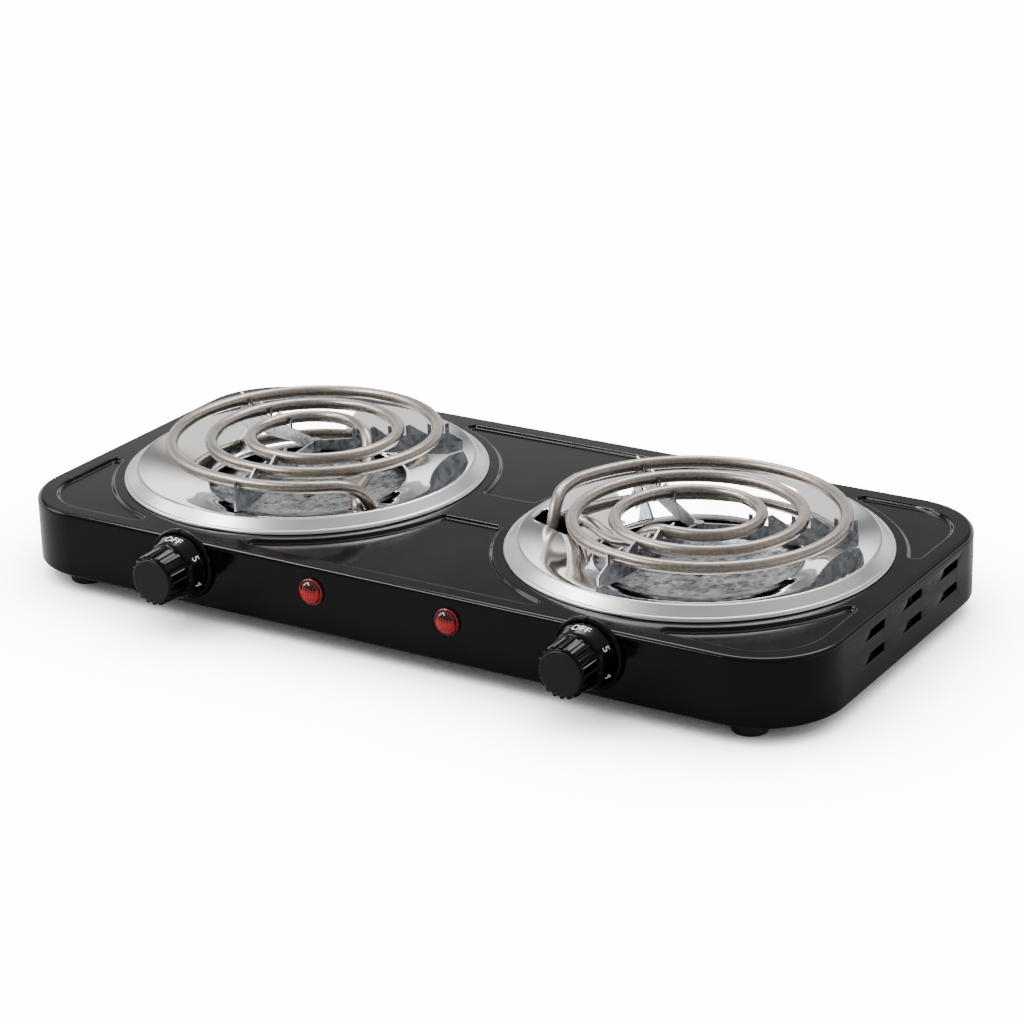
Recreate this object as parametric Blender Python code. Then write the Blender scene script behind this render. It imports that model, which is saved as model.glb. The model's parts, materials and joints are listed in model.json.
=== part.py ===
"""Double hot plate with two spiral elements, built as an assembly of named pieces.

Units are metres, +Z is up and the front panel faces -Y.  The origin is on the floor,
under the centre of the object's bounding box.
"""

import math

import bmesh
import bpy
from mathutils import Matrix, Vector

# ---------------------------------------------------------------- driving sizes
BODY_WIDTH = 0.480
BODY_DEPTH = 0.233
TOP_HEIGHT = 0.0455
CORNER_RADIUS = 0.0444
SHEET = 0.0012
EDGE_RADIUS = 0.0025
FOOT_HEIGHT = 0.0084
LIP_HEIGHT = 0.0051
LIP_INSET = 0.0020
PAN_RADIUS = 0.1005
PAN_END = 0.1178               # from a pan's centre to the body's end
PAN_SHIFT_Y = 0.0016
TUBE_RADIUS = 0.0033
COIL_MARGIN = 0.0165           # from the pan's rim in to the outer turn's start
COIL_INNER_RADIUS = 0.02534
KNOB_REACH = 0.0285
CONTROL_DROP = 0.0135
CONTROL_SHIFT_X = 0.0030
GLAND_REACH = 0.0085
GAP = 0.0003

# ---------------------------------------------------------------- derived places
BODY_Y = (KNOB_REACH - GLAND_REACH) / 2
FRONT_Y = BODY_Y - BODY_DEPTH / 2
REAR_Y = BODY_Y + BODY_DEPTH / 2
SKIRT_Z = FOOT_HEIGHT + LIP_HEIGHT
CONTROL_Z = TOP_HEIGHT - CONTROL_DROP
FLOOR_TOP = FOOT_HEIGHT + 0.0010
PAN_Y = BODY_Y + PAN_SHIFT_Y
PAN_SPACING = BODY_WIDTH - 2 * PAN_END
PAN_OPENING = PAN_RADIUS - 0.0467
HOUSING_HOLE = PAN_RADIUS - 0.0055
RECESS_RADIUS = PAN_RADIUS + 0.0055
RECESS_DEPTH = 0.0020
RECESS_SLOPE = 0.0016
KNOB_X = PAN_SPACING / 2
SWITCH_SCREW_X = 0.0090       # switch screws either side of the knob's axis
LAMP_X = 0.0410
SWITCH_SIZE = (0.0260, 0.0200, 0.0210)
BLOCK_SIZE = (0.0300, 0.0140, 0.0110)
BLOCK_REAR_GAP = 0.0320        # from the rear wall to the terminal block's middle
TERMINAL_PITCH = 0.0095
TERMINAL_HEIGHT = 0.0050
SUPPLY_RADIUS = 0.0013
LAMP_WIRE_RADIUS = 0.0010
LAMP_BODY_DEPTH = 0.0110
LAMP_SEAT = 0.0063             # how far the lens reaches in behind the panel
LOUVRE_LENGTH = 0.0330
LOUVRE_HEIGHT = 0.0050
LOUVRE_PITCH = 0.0437
LOUVRE_ROWS = (0.0082, 0.0206)
LOUVRE_PUSH = 0.0042
PANEL_END_GAP = 0.0013         # how far the corner panels pass the lands round the pans
PANEL_SIDE = PAN_SPACING / 2 + RECESS_RADIUS + PANEL_END_GAP
PANEL_CORNER = 0.0042
PANEL_TURN = 0.0339            # radius of a corner panel's outer corner
PANEL_LAND_FRONT = 0.0215
PANEL_LAND_BACK = 0.0140
FOOT_X = PANEL_SIDE - 0.0275    # feet and their posts stand under the corner panels
FOOT_Y = RECESS_RADIUS - 0.0100

# Spiral element: angles are measured from the slot where its legs leave the pan.
COIL_START_ANGLE = -19.0
COIL_END_ANGLE = -990.0
COIL_STEP = 15                # degrees between points along the spiral
ARM_ANGLES = (-47.0, 73.0, -167.0)
ARM_SHEET = 0.0012
COIL_START_RADIUS = PAN_RADIUS - COIL_MARGIN
COIL_PITCH = 360 * (COIL_START_RADIUS - COIL_INNER_RADIUS) / (COIL_START_ANGLE - COIL_END_ANGLE)
ARM_FOOT_RADIUS = PAN_RADIUS - 0.0195
DISH_LINE = (                  # from the crest of the raised band down to the opening
    (PAN_RADIUS - 0.0075, 0.0066), (PAN_RADIUS - 0.0092, 0.0063), (PAN_RADIUS - 0.0155, 0.0048),
    (PAN_RADIUS - 0.0305, 0.0004), (PAN_OPENING + 0.0072, -0.0028), (PAN_OPENING + 0.0028, -0.0042),
    (PAN_OPENING + 0.0006, -0.0052), (PAN_OPENING, -0.0068))
SLOT_OUTER = PAN_RADIUS - 0.0115
SLOT_INNER = SLOT_OUTER - 0.0220
SLOT_SIDE_LOW = -0.0072
SLOT_SIDE_HIGH = 0.0107
OUTER_LEG_SIDE = 0.0065
INNER_LEG_SIDE = -0.0025
HINGE_RADIUS = PAN_RADIUS - 0.0070
HINGE_DROP = 0.0110
LEG_END = PAN_RADIUS - 0.0015

# Each burner: side, slot angle, seat height of the tube and coil offset on its pan.
BURNERS = (
    {"name": "left", "side": -1, "slot": 323.0, "seat": 0.0190, "shift": (0.0028, 0.0049)},
    {"name": "right", "side": 1, "slot": 187.0, "seat": 0.0160, "shift": (0.0, 0.0)},
)

# ---------------------------------------------------------------- materials
FINISHES = {
    "black_paint": ((0.018, 0.018, 0.019, 1.0), 0.22, 0.0),
    "black_steel": ((0.020, 0.020, 0.021, 1.0), 0.45, 0.0),
    "chrome": ((0.72, 0.72, 0.73, 1.0), 0.10, 1.0),
    "galvanised": ((0.42, 0.45, 0.48, 1.0), 0.45, 1.0),
    "element_alloy": ((0.36, 0.31, 0.27, 1.0), 0.38, 1.0),
    "black_plastic": ((0.014, 0.014, 0.015, 1.0), 0.28, 0.0),
    "red_lens": ((0.75, 0.02, 0.02, 1.0), 0.12, 0.0),
    "rubber": ((0.025, 0.025, 0.025, 1.0), 0.80, 0.0),
    "ceramic": ((0.82, 0.80, 0.75, 1.0), 0.60, 0.0),
    "zinc_screw": ((0.62, 0.62, 0.60, 1.0), 0.35, 1.0),
    "wire_white": ((0.75, 0.75, 0.72, 1.0), 0.55, 0.0),
    "nylon": ((0.70, 0.69, 0.64, 1.0), 0.50, 0.0),
}


def clear_scene():
    """Remove every object, so that the script can run again in the same file."""
    for item in list(bpy.data.objects):
        bpy.data.objects.remove(item, do_unlink=True)


def make_materials():
    """Return one Principled material for each finish."""
    made = {}
    for name, (colour, roughness, metallic) in FINISHES.items():
        material = bpy.data.materials.new(name)
        material.use_nodes = True
        shader = material.node_tree.nodes["Principled BSDF"]
        shader.inputs["Base Color"].default_value = colour
        shader.inputs["Roughness"].default_value = roughness
        shader.inputs["Metallic"].default_value = metallic
        made[name] = material
    return made


# ---------------------------------------------------------------- mesh helpers
def add_mesh(name, mesh_data, material=None):
    """Turn a bmesh into a linked object with outward faces."""
    bmesh.ops.recalc_face_normals(mesh_data, faces=mesh_data.faces[:])
    mesh = bpy.data.meshes.new(name)
    mesh_data.to_mesh(mesh)
    mesh_data.free()
    item = bpy.data.objects.new(name, mesh)
    bpy.context.collection.objects.link(item)
    if material is not None:
        mesh.materials.append(material)
    return item


def add_box(mesh_data, low, high):
    """Add an axis-aligned box between two corners."""
    size = Vector(high) - Vector(low)
    centre = (Vector(high) + Vector(low)) / 2
    place = Matrix.Translation(centre) @ Matrix.Diagonal((size.x, size.y, size.z, 1.0))
    return bmesh.ops.create_cube(mesh_data, size=1.0, matrix=place)["verts"]


def add_cylinder(mesh_data, radius, start, end, segments=20):
    """Add a capped cylinder between two points."""
    start = Vector(start)
    axis = Vector(end) - start
    turn = Vector((0, 0, 1)).rotation_difference(axis.normalized()).to_matrix().to_4x4()
    place = Matrix.Translation(start + axis / 2) @ turn
    bmesh.ops.create_cone(mesh_data, cap_ends=True, segments=segments, radius1=radius,
                          radius2=radius, depth=axis.length, matrix=place)


def add_stack(mesh_data, rings):
    """Add a closed solid through rings of points that all have the same count."""
    loops = [[mesh_data.verts.new(point) for point in ring] for ring in rings]
    count = len(loops[0])
    for low, high in zip(loops, loops[1:]):
        for k in range(count):
            n = (k + 1) % count
            mesh_data.faces.new((low[k], low[n], high[n], high[k]))
    mesh_data.faces.new(loops[0][::-1])
    mesh_data.faces.new(loops[-1])


def lathe(name, profile, segments, material, closed=False, flutes=None):
    """Turn a profile of (radius, height) about +Z.

    A closed profile makes a ring.  An open one starts and ends on the axis.  flutes is
    (count, depth, first height, last height) for grooves along the grip of a knob.
    """
    shape = bmesh.new()
    columns = []
    for k in range(segments):
        angle = 2 * math.pi * k / segments
        column = []
        for radius, height in profile:
            if flutes and flutes[2] <= height <= flutes[3] and radius > flutes[1]:
                radius -= flutes[1] * (0.5 - 0.5 * math.cos(flutes[0] * angle))
            if radius == 0 and columns:
                column.append(columns[0][len(column)])
            else:
                point = (radius * math.cos(angle), radius * math.sin(angle), height)
                column.append(shape.verts.new(point))
        columns.append(column)
    steps = len(profile) if closed else len(profile) - 1
    for k in range(segments):
        here = columns[k]
        there = columns[(k + 1) % segments]
        for j in range(steps):
            n = (j + 1) % len(profile)
            corners = []
            for vert in (here[j], there[j], there[n], here[n]):
                if vert not in corners:
                    corners.append(vert)
            shape.faces.new(corners)
    return add_mesh(name, shape, material)


def thicken(line, thickness):
    """Return the closed outline of a bent sheet whose upper face follows a line."""
    lower = []
    for k, point in enumerate(line):
        before = Vector(line[max(k - 1, 0)])
        after = Vector(line[min(k + 1, len(line) - 1)])
        along = (after - before).normalized()
        normal = Vector((along.y, -along.x))
        if normal.y > 0 or (abs(normal.y) < 1e-6 and normal.x > 0):
            normal = -normal
        lower.append(tuple(Vector(point) + normal * thickness))
    return list(line) + lower[::-1]


def face_front(item, x, y, z):
    """Turn a lathe piece so that its +Z points out of the front panel, and place it."""
    item.rotation_euler = (math.radians(90), 0, 0)
    item.location = (x, y, z)


def boolean(target, tool, operation):
    """Add an exact Boolean to target and hide its tool."""
    modifier = target.modifiers.new(operation.lower(), "BOOLEAN")
    modifier.operation = operation
    modifier.solver = "EXACT"
    modifier.object = tool
    tool.hide_render = True
    tool.display_type = "WIRE"


def rounded_rectangle(half_x, half_y, radius, steps=6):
    """Return the points of a rounded rectangle about the origin."""
    points = []
    for quarter, (sx, sy) in enumerate(((1, 1), (-1, 1), (-1, -1), (1, -1))):
        for k in range(steps + 1):
            angle = math.radians(90 * quarter + 90 * k / steps)
            x = sx * (half_x - radius) + radius * math.cos(angle)
            y = sy * (half_y - radius) + radius * math.sin(angle)
            points.append((x, y))
    return points


def body_ring(inset, height, steps=6):
    """Return the body's plan outline, inset, at a height."""
    outline = rounded_rectangle(BODY_WIDTH / 2 - inset, BODY_DEPTH / 2 - inset,
                                CORNER_RADIUS - inset, steps)
    return [(x, y + BODY_Y, height) for x, y in outline]


def sweep(name, points, radius, material, sides=1):
    """Make a round tube along points, with filled ends."""
    curve = bpy.data.curves.new(name, "CURVE")
    curve.dimensions = "3D"
    curve.bevel_depth = radius
    curve.bevel_resolution = sides
    curve.use_fill_caps = True
    spline = curve.splines.new("POLY")
    spline.points.add(len(points) - 1)
    for knot, point in zip(spline.points, points):
        knot.co = (*point, 1.0)
    curve.materials.append(material)
    item = bpy.data.objects.new(name, curve)
    bpy.context.collection.objects.link(item)
    return item


def smooth_path(knots, steps=5):
    """Return a Catmull-Rom curve through knots."""
    knots = [Vector(knot) for knot in knots]
    ends = [2 * knots[0] - knots[1]] + knots + [2 * knots[-1] - knots[-2]]
    points = []
    for k in range(1, len(ends) - 2):
        a, b, c, d = ends[k - 1:k + 3]
        for j in range(steps):
            t = j / steps
            points.append(0.5 * (2 * b + (c - a) * t + (2 * a - 5 * b + 4 * c - d) * t ** 2
                                 + (3 * b - a - 3 * c + d) * t ** 3))
    return points + [knots[-1]]


# ---------------------------------------------------------------- recessed panels
def pan_wall(circle, shift, first, last, steps=7):
    """Return points of a pan-concentric wall between two directions towards the pan."""
    points = []
    for k in range(1, steps):
        angle = first + (last - first) * k / steps
        points.append((PAN_SPACING / 2 - circle * math.cos(angle),
                       shift - circle * math.sin(angle)))
    return points


def corner_arc(centre, radius, first, last, steps=3):
    """Return the points of a rounded corner."""
    points = []
    for k in range(steps + 1):
        angle = first + (last - first) * k / steps
        points.append((centre[0] + radius * math.cos(angle),
                       centre[1] + radius * math.sin(angle)))
    return points


def centre_panel(sign, inset):
    """Return the plan outline of the recessed panel between the pans."""
    land = PANEL_LAND_BACK if sign > 0 else PANEL_LAND_FRONT
    shift = sign * PAN_SHIFT_Y
    radius = max(PANEL_CORNER - inset, 0.0006)
    circle = RECESS_RADIUS + inset
    near = land + inset + radius
    far = RECESS_RADIUS - inset - radius
    near_x = PAN_SPACING / 2 - math.sqrt((circle + radius) ** 2 - (near - shift) ** 2)
    far_x = PAN_SPACING / 2 - math.sqrt((circle + radius) ** 2 - (far - shift) ** 2)
    near_turn = math.atan2(shift - near, PAN_SPACING / 2 - near_x)
    far_turn = math.atan2(shift - far, PAN_SPACING / 2 - far_x)
    half = corner_arc((near_x, near), radius, -math.pi / 2, near_turn)
    half += pan_wall(circle, shift, near_turn, far_turn)
    half += corner_arc((far_x, far), radius, far_turn, math.pi / 2)
    outline = half + [(-x, y) for x, y in reversed(half)]
    return [(x, sign * y) for x, y in outline]


def corner_panel(sign_x, sign_y, inset):
    """Return the plan outline of the recessed panel in one corner."""
    shift = sign_y * PAN_SHIFT_Y
    radius = max(PANEL_CORNER - inset, 0.0006)
    circle = RECESS_RADIUS + inset
    side = PANEL_SIDE - inset
    end = RECESS_RADIUS - inset
    outer = PANEL_TURN - inset
    side_x = side - radius
    end_y = end - radius
    side_y = shift + math.sqrt((circle + radius) ** 2 - (side_x - PAN_SPACING / 2) ** 2)
    end_x = PAN_SPACING / 2 + math.sqrt((circle + radius) ** 2 - (end_y - shift) ** 2)
    side_turn = math.atan2(shift - side_y, PAN_SPACING / 2 - side_x)
    end_turn = math.atan2(shift - end_y, PAN_SPACING / 2 - end_x)
    outline = corner_arc((side_x, side_y), radius, side_turn, 0)
    outline += corner_arc((side - outer, end - outer), outer, 0, math.pi / 2, 5)
    outline += corner_arc((end_x, end_y), radius, math.pi / 2, end_turn + 2 * math.pi)
    outline += pan_wall(circle, shift, end_turn, side_turn)
    return [(sign_x * x, sign_y * y) for x, y in outline]


def panel_tool(name, grow, drop):
    """Return one object with the six recesses, grown and lowered by a wall's thickness."""
    shape = bmesh.new()
    outlines = [lambda inset, s=s: centre_panel(s, inset) for s in (-1, 1)]
    for sx in (-1, 1):
        outlines += [lambda inset, sx=sx, sy=sy: corner_panel(sx, sy, inset) for sy in (-1, 1)]
    for outline in outlines:
        rings = []
        for inset, height in ((-grow, TOP_HEIGHT + 0.001), (-grow, TOP_HEIGHT),
                              (RECESS_SLOPE - grow, TOP_HEIGHT - RECESS_DEPTH - drop)):
            rings.append([(x, y + BODY_Y, height) for x, y in outline(inset)])
        add_stack(shape, rings)
    return add_mesh(name, shape)


# ---------------------------------------------------------------- housing and base
def foot_places():
    """Return the four places where a foot, a screw and a post line up."""
    return [(sx * FOOT_X, BODY_Y + sy * FOOT_Y) for sx in (-1, 1) for sy in (-1, 1)]


def add_louvres(shape, flaps):
    """Add the twelve side openings, or the flaps that are pushed in behind them."""
    swing = math.asin(LOUVRE_PUSH / LOUVRE_LENGTH)
    for side in (-1, 1):
        for column in (-1, 0, 1):
            front = BODY_Y + column * LOUVRE_PITCH - LOUVRE_LENGTH / 2
            for row in LOUVRE_ROWS:
                middle = TOP_HEIGHT - row
                half = LOUVRE_HEIGHT / 2
                if not flaps:
                    corners = (side * (BODY_WIDTH / 2 - 0.004), side * (BODY_WIDTH / 2 + 0.004))
                    add_box(shape, (min(corners), front, middle - half),
                            (max(corners), front + LOUVRE_LENGTH, middle + half))
                    continue
                half -= GAP
                verts = add_box(shape, (-SHEET * 0.9, -0.0006, -half),
                                (-SHEET * 0.1, LOUVRE_LENGTH - 0.0006, half))
                turn = Matrix.Rotation(swing, 4, "Z")
                place = Matrix.Translation((BODY_WIDTH / 2, front, middle)) @ turn
                if side < 0:
                    place = Matrix.Scale(-1, 4, (1, 0, 0)) @ place
                bmesh.ops.transform(shape, matrix=place, verts=verts)


def make_housing(materials):
    """Make the pressed top shell with its recesses, holes, louvres and screw posts."""
    shell = bmesh.new()
    rings = [body_ring(0, SKIRT_Z)]
    for k in range(4):
        angle = math.radians(30 * k)
        rings.append(body_ring(EDGE_RADIUS * (1 - math.cos(angle)),
                               TOP_HEIGHT - EDGE_RADIUS * (1 - math.sin(angle))))
    add_stack(shell, rings)
    housing = add_mesh("housing", shell, materials["black_paint"])

    cavity = bmesh.new()
    add_stack(cavity, [body_ring(SHEET, SKIRT_Z - 0.01), body_ring(SHEET, TOP_HEIGHT - EDGE_RADIUS),
                       body_ring(EDGE_RADIUS, TOP_HEIGHT - SHEET)])
    cavity = add_mesh("cut_cavity", cavity)
    boolean(cavity, panel_tool("cut_panel_skins", SHEET, SHEET), "DIFFERENCE")

    holes = bmesh.new()
    for burner in BURNERS:
        x = burner["side"] * PAN_SPACING / 2
        add_cylinder(holes, HOUSING_HOLE, (x, PAN_Y, TOP_HEIGHT - 0.006),
                     (x, PAN_Y, TOP_HEIGHT + 0.006), 36)
        for place, radius in ((burner["side"] * KNOB_X, 0.0050), (burner["side"] * LAMP_X, 0.0056)):
            add_cylinder(holes, radius, (place + CONTROL_SHIFT_X, FRONT_Y - 0.003, CONTROL_Z),
                         (place + CONTROL_SHIFT_X, FRONT_Y + 0.004, CONTROL_Z))
        for sx in (-1, 1):
            place = burner["side"] * KNOB_X + CONTROL_SHIFT_X + sx * SWITCH_SCREW_X
            add_cylinder(holes, 0.0016, (place, FRONT_Y - 0.003, CONTROL_Z),
                         (place, FRONT_Y + 0.004, CONTROL_Z), 12)
    add_cylinder(holes, 0.0060, (0, REAR_Y - 0.004, CONTROL_Z), (0, REAR_Y + 0.004, CONTROL_Z))
    add_louvres(holes, flaps=False)

    posts = bmesh.new()
    bores = bmesh.new()
    for x, y in foot_places():
        add_cylinder(posts, 0.0050, (x, y, FLOOR_TOP + GAP),
                     (x, y, TOP_HEIGHT - RECESS_DEPTH - SHEET / 2), 16)
        add_cylinder(bores, 0.0019, (x, y, FLOOR_TOP - 0.002), (x, y, FLOOR_TOP + 0.019), 12)
    flaps = bmesh.new()
    add_louvres(flaps, flaps=True)

    boolean(housing, panel_tool("cut_panels", 0, 0), "DIFFERENCE")
    boolean(housing, cavity, "DIFFERENCE")
    boolean(housing, add_mesh("cut_openings", holes), "DIFFERENCE")
    boolean(housing, add_mesh("join_posts", posts), "UNION")
    boolean(housing, add_mesh("cut_post_bores", bores), "DIFFERENCE")
    boolean(housing, add_mesh("join_flaps", flaps), "UNION")


def make_base(materials):
    """Make the base tray, whose rim shows as a lip below the housing."""
    lip_top = SKIRT_Z + 0.006
    tray = bmesh.new()
    add_stack(tray, [body_ring(LIP_INSET + 0.0012, FOOT_HEIGHT),
                     body_ring(LIP_INSET, FOOT_HEIGHT + 0.0012), body_ring(LIP_INSET, lip_top)])
    tray = add_mesh("base_tray", tray, materials["black_steel"])
    well = bmesh.new()
    add_stack(well, [body_ring(LIP_INSET + 0.0022, FLOOR_TOP),
                     body_ring(LIP_INSET + 0.0010, FLOOR_TOP + 0.0012),
                     body_ring(LIP_INSET + 0.0010, lip_top + 0.002)])
    holes = bmesh.new()
    for x, y in foot_places():
        add_cylinder(holes, 0.0023, (x, y, 0), (x, y, FLOOR_TOP + 0.002), 12)
    boolean(tray, add_mesh("cut_tray_well", well), "DIFFERENCE")
    boolean(tray, add_mesh("cut_tray_holes", holes), "DIFFERENCE")

    foot_top = FOOT_HEIGHT - GAP
    foot = ((0.0045, 0), (0.0085, 0), (0.0095, 0.0010), (0.0090, foot_top), (0.0021, foot_top),
            (0.0021, 0.0040), (0.0045, 0.0040))
    screw = ((0, 0.0010), (0.0036, 0.0010), (0.0040, 0.0016), (0.0036, 0.0037),
             (0.0016, 0.0037), (0.0016, FLOOR_TOP + 0.0175), (0, FLOOR_TOP + 0.0185))
    names = ("left_front", "left_rear", "right_front", "right_rear")
    for name, (x, y) in zip(names, foot_places()):
        pad = lathe(name + "_foot", foot, 16, materials["rubber"], closed=True)
        pad.location = (x, y, 0)
        bolt = lathe(name + "_foot_screw", screw, 12, materials["zinc_screw"])
        bolt.location = (x, y, 0)


# ---------------------------------------------------------------- pans and shields
def make_pan(burner, materials):
    """Make one chrome drip pan, the shield under it and the shield's fixing."""
    side = burner["name"]
    place = (burner["side"] * PAN_SPACING / 2, PAN_Y, TOP_HEIGHT)
    rim = PAN_RADIUS
    line = ((rim, 0.0006), (rim - 0.0004, 0.0014), (rim - 0.0014, 0.0019),
            (rim - 0.0022, 0.0020)) + DISH_LINE
    pan = lathe(side + "_drip_pan", thicken(line, 0.0007), 30, materials["chrome"], closed=True)
    pan.location = place
    slot = bmesh.new()
    half_r = (SLOT_OUTER - SLOT_INNER) / 2
    half_s = (SLOT_SIDE_HIGH - SLOT_SIDE_LOW) / 2
    outline = rounded_rectangle(half_r, half_s, 0.003, 3)
    middle = ((SLOT_OUTER + SLOT_INNER) / 2, (SLOT_SIDE_HIGH + SLOT_SIDE_LOW) / 2)
    rings = [[(x + middle[0], y + middle[1], z) for x, y in outline] for z in (-0.008, 0.012)]
    add_stack(slot, rings)
    tool = add_mesh("cut_" + side + "_slot", slot)
    tool.matrix_world = burner_frame(burner)
    boolean(pan, tool, "DIFFERENCE")

    drop = -0.0155
    line = ((PAN_OPENING + 0.0087, -0.0085), (PAN_OPENING + 0.0062, -0.0105),
            (PAN_OPENING - 0.0058, -0.0140), (PAN_OPENING - 0.0238, drop), (0.0024, drop))
    shield = lathe(side + "_heat_shield", thicken(line, 0.0008), 20, materials["galvanised"],
                   closed=True)
    shield.location = place
    floor = FLOOR_TOP - TOP_HEIGHT + GAP
    top = drop - 0.0008 - GAP
    profile = ((0, floor), (0.0055, floor), (0.0055, top), (0.0019, top),
               (0.0019, floor + 0.008), (0, floor + 0.007))
    spacer = lathe(side + "_shield_spacer", profile, 16, materials["zinc_screw"])
    spacer.location = place
    screw = ((0, top - 0.0085), (0.0015, top - 0.0080), (0.0015, drop + GAP),
             (0.0034, drop + GAP), (0.0032, drop + 0.0018), (0, drop + 0.0024))
    bolt = lathe(side + "_shield_screw", screw, 14, materials["zinc_screw"])
    bolt.location = place


# ---------------------------------------------------------------- spiral elements
def burner_frame(burner, shifted=True):
    """Return the frame of one element: +X points to the slot, and z = 0 is the body's top."""
    dx, dy = burner["shift"] if shifted else (0, 0)
    place = Vector((burner["side"] * PAN_SPACING / 2 + dx, PAN_Y + dy, TOP_HEIGHT))
    return Matrix.Translation(place) @ Matrix.Rotation(math.radians(burner["slot"]), 4, "Z")


def coil_radius(angle):
    """Return the spiral's radius at an angle in degrees, counted down from its start."""
    return COIL_START_RADIUS - COIL_PITCH * (COIL_START_ANGLE - angle) / 360


def coil_path(seat):
    """Return the tube's centre line in the element's frame, from terminal to terminal."""
    side = OUTER_LEG_SIDE
    hinge = -HINGE_DROP
    end = LEG_END
    outer_leg = [(end, side, hinge), (end - 0.0090, side, hinge), (end - 0.0122, side, hinge + 0.0012),
                 (end - 0.0154, side, hinge + 0.0046), (end - 0.0178, side - 0.0004, hinge + 0.0090),
                 (end - 0.0190, side - 0.0028, seat * 0.25), (end - 0.0184, -0.0020, seat * 0.66),
                 (end - 0.0174, -0.0120, seat * 0.93)]
    turns = []
    count = int((COIL_START_ANGLE - COIL_END_ANGLE) / COIL_STEP)
    for k in range(count + 1):
        angle = COIL_START_ANGLE + (COIL_END_ANGLE - COIL_START_ANGLE) * k / count
        radius = coil_radius(angle)
        turn = math.radians(angle)
        turns.append((radius * math.cos(turn), radius * math.sin(turn), seat))
    inner_y = coil_radius(COIL_END_ANGLE)
    low = seat - 2 * TUBE_RADIUS - 0.0022
    side = INNER_LEG_SIDE
    dive = 0.0280
    rise = end - 0.0410
    middle = dive + (rise - dive) * 0.467
    inner_leg = [(0.0050, inner_y, seat), (0.0115, inner_y - 0.0002, seat),
                 (0.0190, inner_y - 0.0016, seat - 0.0030), (dive, inner_y - 0.0046, low - 0.0006),
                 (middle, inner_y - 0.0105, low - 0.0036), (rise, side + 0.0065, 0.0050),
                 (end - 0.0290, side + 0.0018, 0.0046), (end - 0.0225, side, 0.0026),
                 (end - 0.0178, side, hinge + 0.0062), (end - 0.0140, side, hinge + 0.0022),
                 (end - 0.0090, side, hinge), (end, side, hinge)]
    start = smooth_path(outer_leg + turns[:2], 3)[:-4]
    finish = smooth_path([turns[-1]] + inner_leg, 3)[1:]
    return start + [Vector(point) for point in turns] + finish


def arm_crossings(angle):
    """Return the radii at which the turns cross one support arm."""
    crossings = []
    turn = angle if angle <= COIL_START_ANGLE else angle - 360
    while turn >= COIL_END_ANGLE:
        crossings.append(coil_radius(turn))
        turn -= 360
    last = turn + 360 - COIL_END_ANGLE
    if 0 <= angle <= 90 and last > 180:
        crossings.append(coil_radius(COIL_END_ANGLE) / math.sin(math.radians(angle)))
    return crossings


def foot_height(burner, angle, radius):
    """Return how high a support foot stands so that it rests on the pan's dish."""
    turn = math.radians(burner["slot"] + angle)
    dx, dy = burner["shift"]
    reach = math.hypot(radius * math.cos(turn) + dx, radius * math.sin(turn) + dy)
    for (outer, high), (inner, low) in zip(DISH_LINE, DISH_LINE[1:]):
        if reach >= inner:
            share = min((reach - inner) / (outer - inner), 1.0)
            return low + (high - low) * share + 2 * GAP
    return DISH_LINE[-1][1] + 2 * GAP


def arm_outline(burner, angle, seat):
    """Return one support arm's outline as (radius, height), with a notch for each turn."""
    rest = seat - TUBE_RADIUS - GAP
    tab_gap = TUBE_RADIUS + 0.0005
    tab_width = 0.0022
    tab_top = seat + 0.0028
    upper = [(0, rest)]
    for radius in sorted(arm_crossings(angle)):
        inner = radius - tab_gap
        outer = radius + tab_gap
        upper += [(inner - tab_width, rest), (inner - tab_width, tab_top), (inner, tab_top - 0.0008),
                  (inner, rest), (outer, rest), (outer, tab_top - 0.0008),
                  (outer + tab_width, tab_top)]
    edge = upper[-1][0]
    foot = max(ARM_FOOT_RADIUS, edge + 0.0006)
    lift = foot_height(burner, angle, foot)
    upper += [(edge, rest + 0.0010), (foot, rest - 0.0040), (foot, lift)]
    lower = [(foot - 0.0080, foot_height(burner, angle, foot - 0.0080)),
             (foot - 0.0110, foot_height(burner, angle, foot - 0.0110) + 0.0010), (0.0300, rest - 0.0085), (0, rest - 0.0050)]
    return upper + lower


def make_spider(burner, frame, seat, materials):
    """Make the three-armed support that carries the turns."""
    pieces = []
    for angle in ARM_ANGLES:
        arm = bmesh.new()
        half = ARM_SHEET / 2
        outline = arm_outline(burner, angle, seat)
        add_stack(arm, [[(r, y, z) for r, z in outline] for y in (-half, half)])
        bmesh.ops.rotate(arm, verts=arm.verts, matrix=Matrix.Rotation(math.radians(angle), 3, "Z"))
        pieces.append(arm)
    rest = seat - TUBE_RADIUS - GAP
    hub = bmesh.new()
    add_cylinder(hub, 0.0026, (0, 0, rest - 0.0060), (0, 0, rest + 0.0006), 18)
    spider = add_mesh(burner["name"] + "_coil_support", hub, materials["galvanised"])
    spider.matrix_world = frame
    for k, arm in enumerate(pieces):
        tool = add_mesh("join_" + burner["name"] + "_arm_" + str(k + 1), arm)
        tool.matrix_world = frame
        boolean(spider, tool, "UNION")
    return spider


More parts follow.
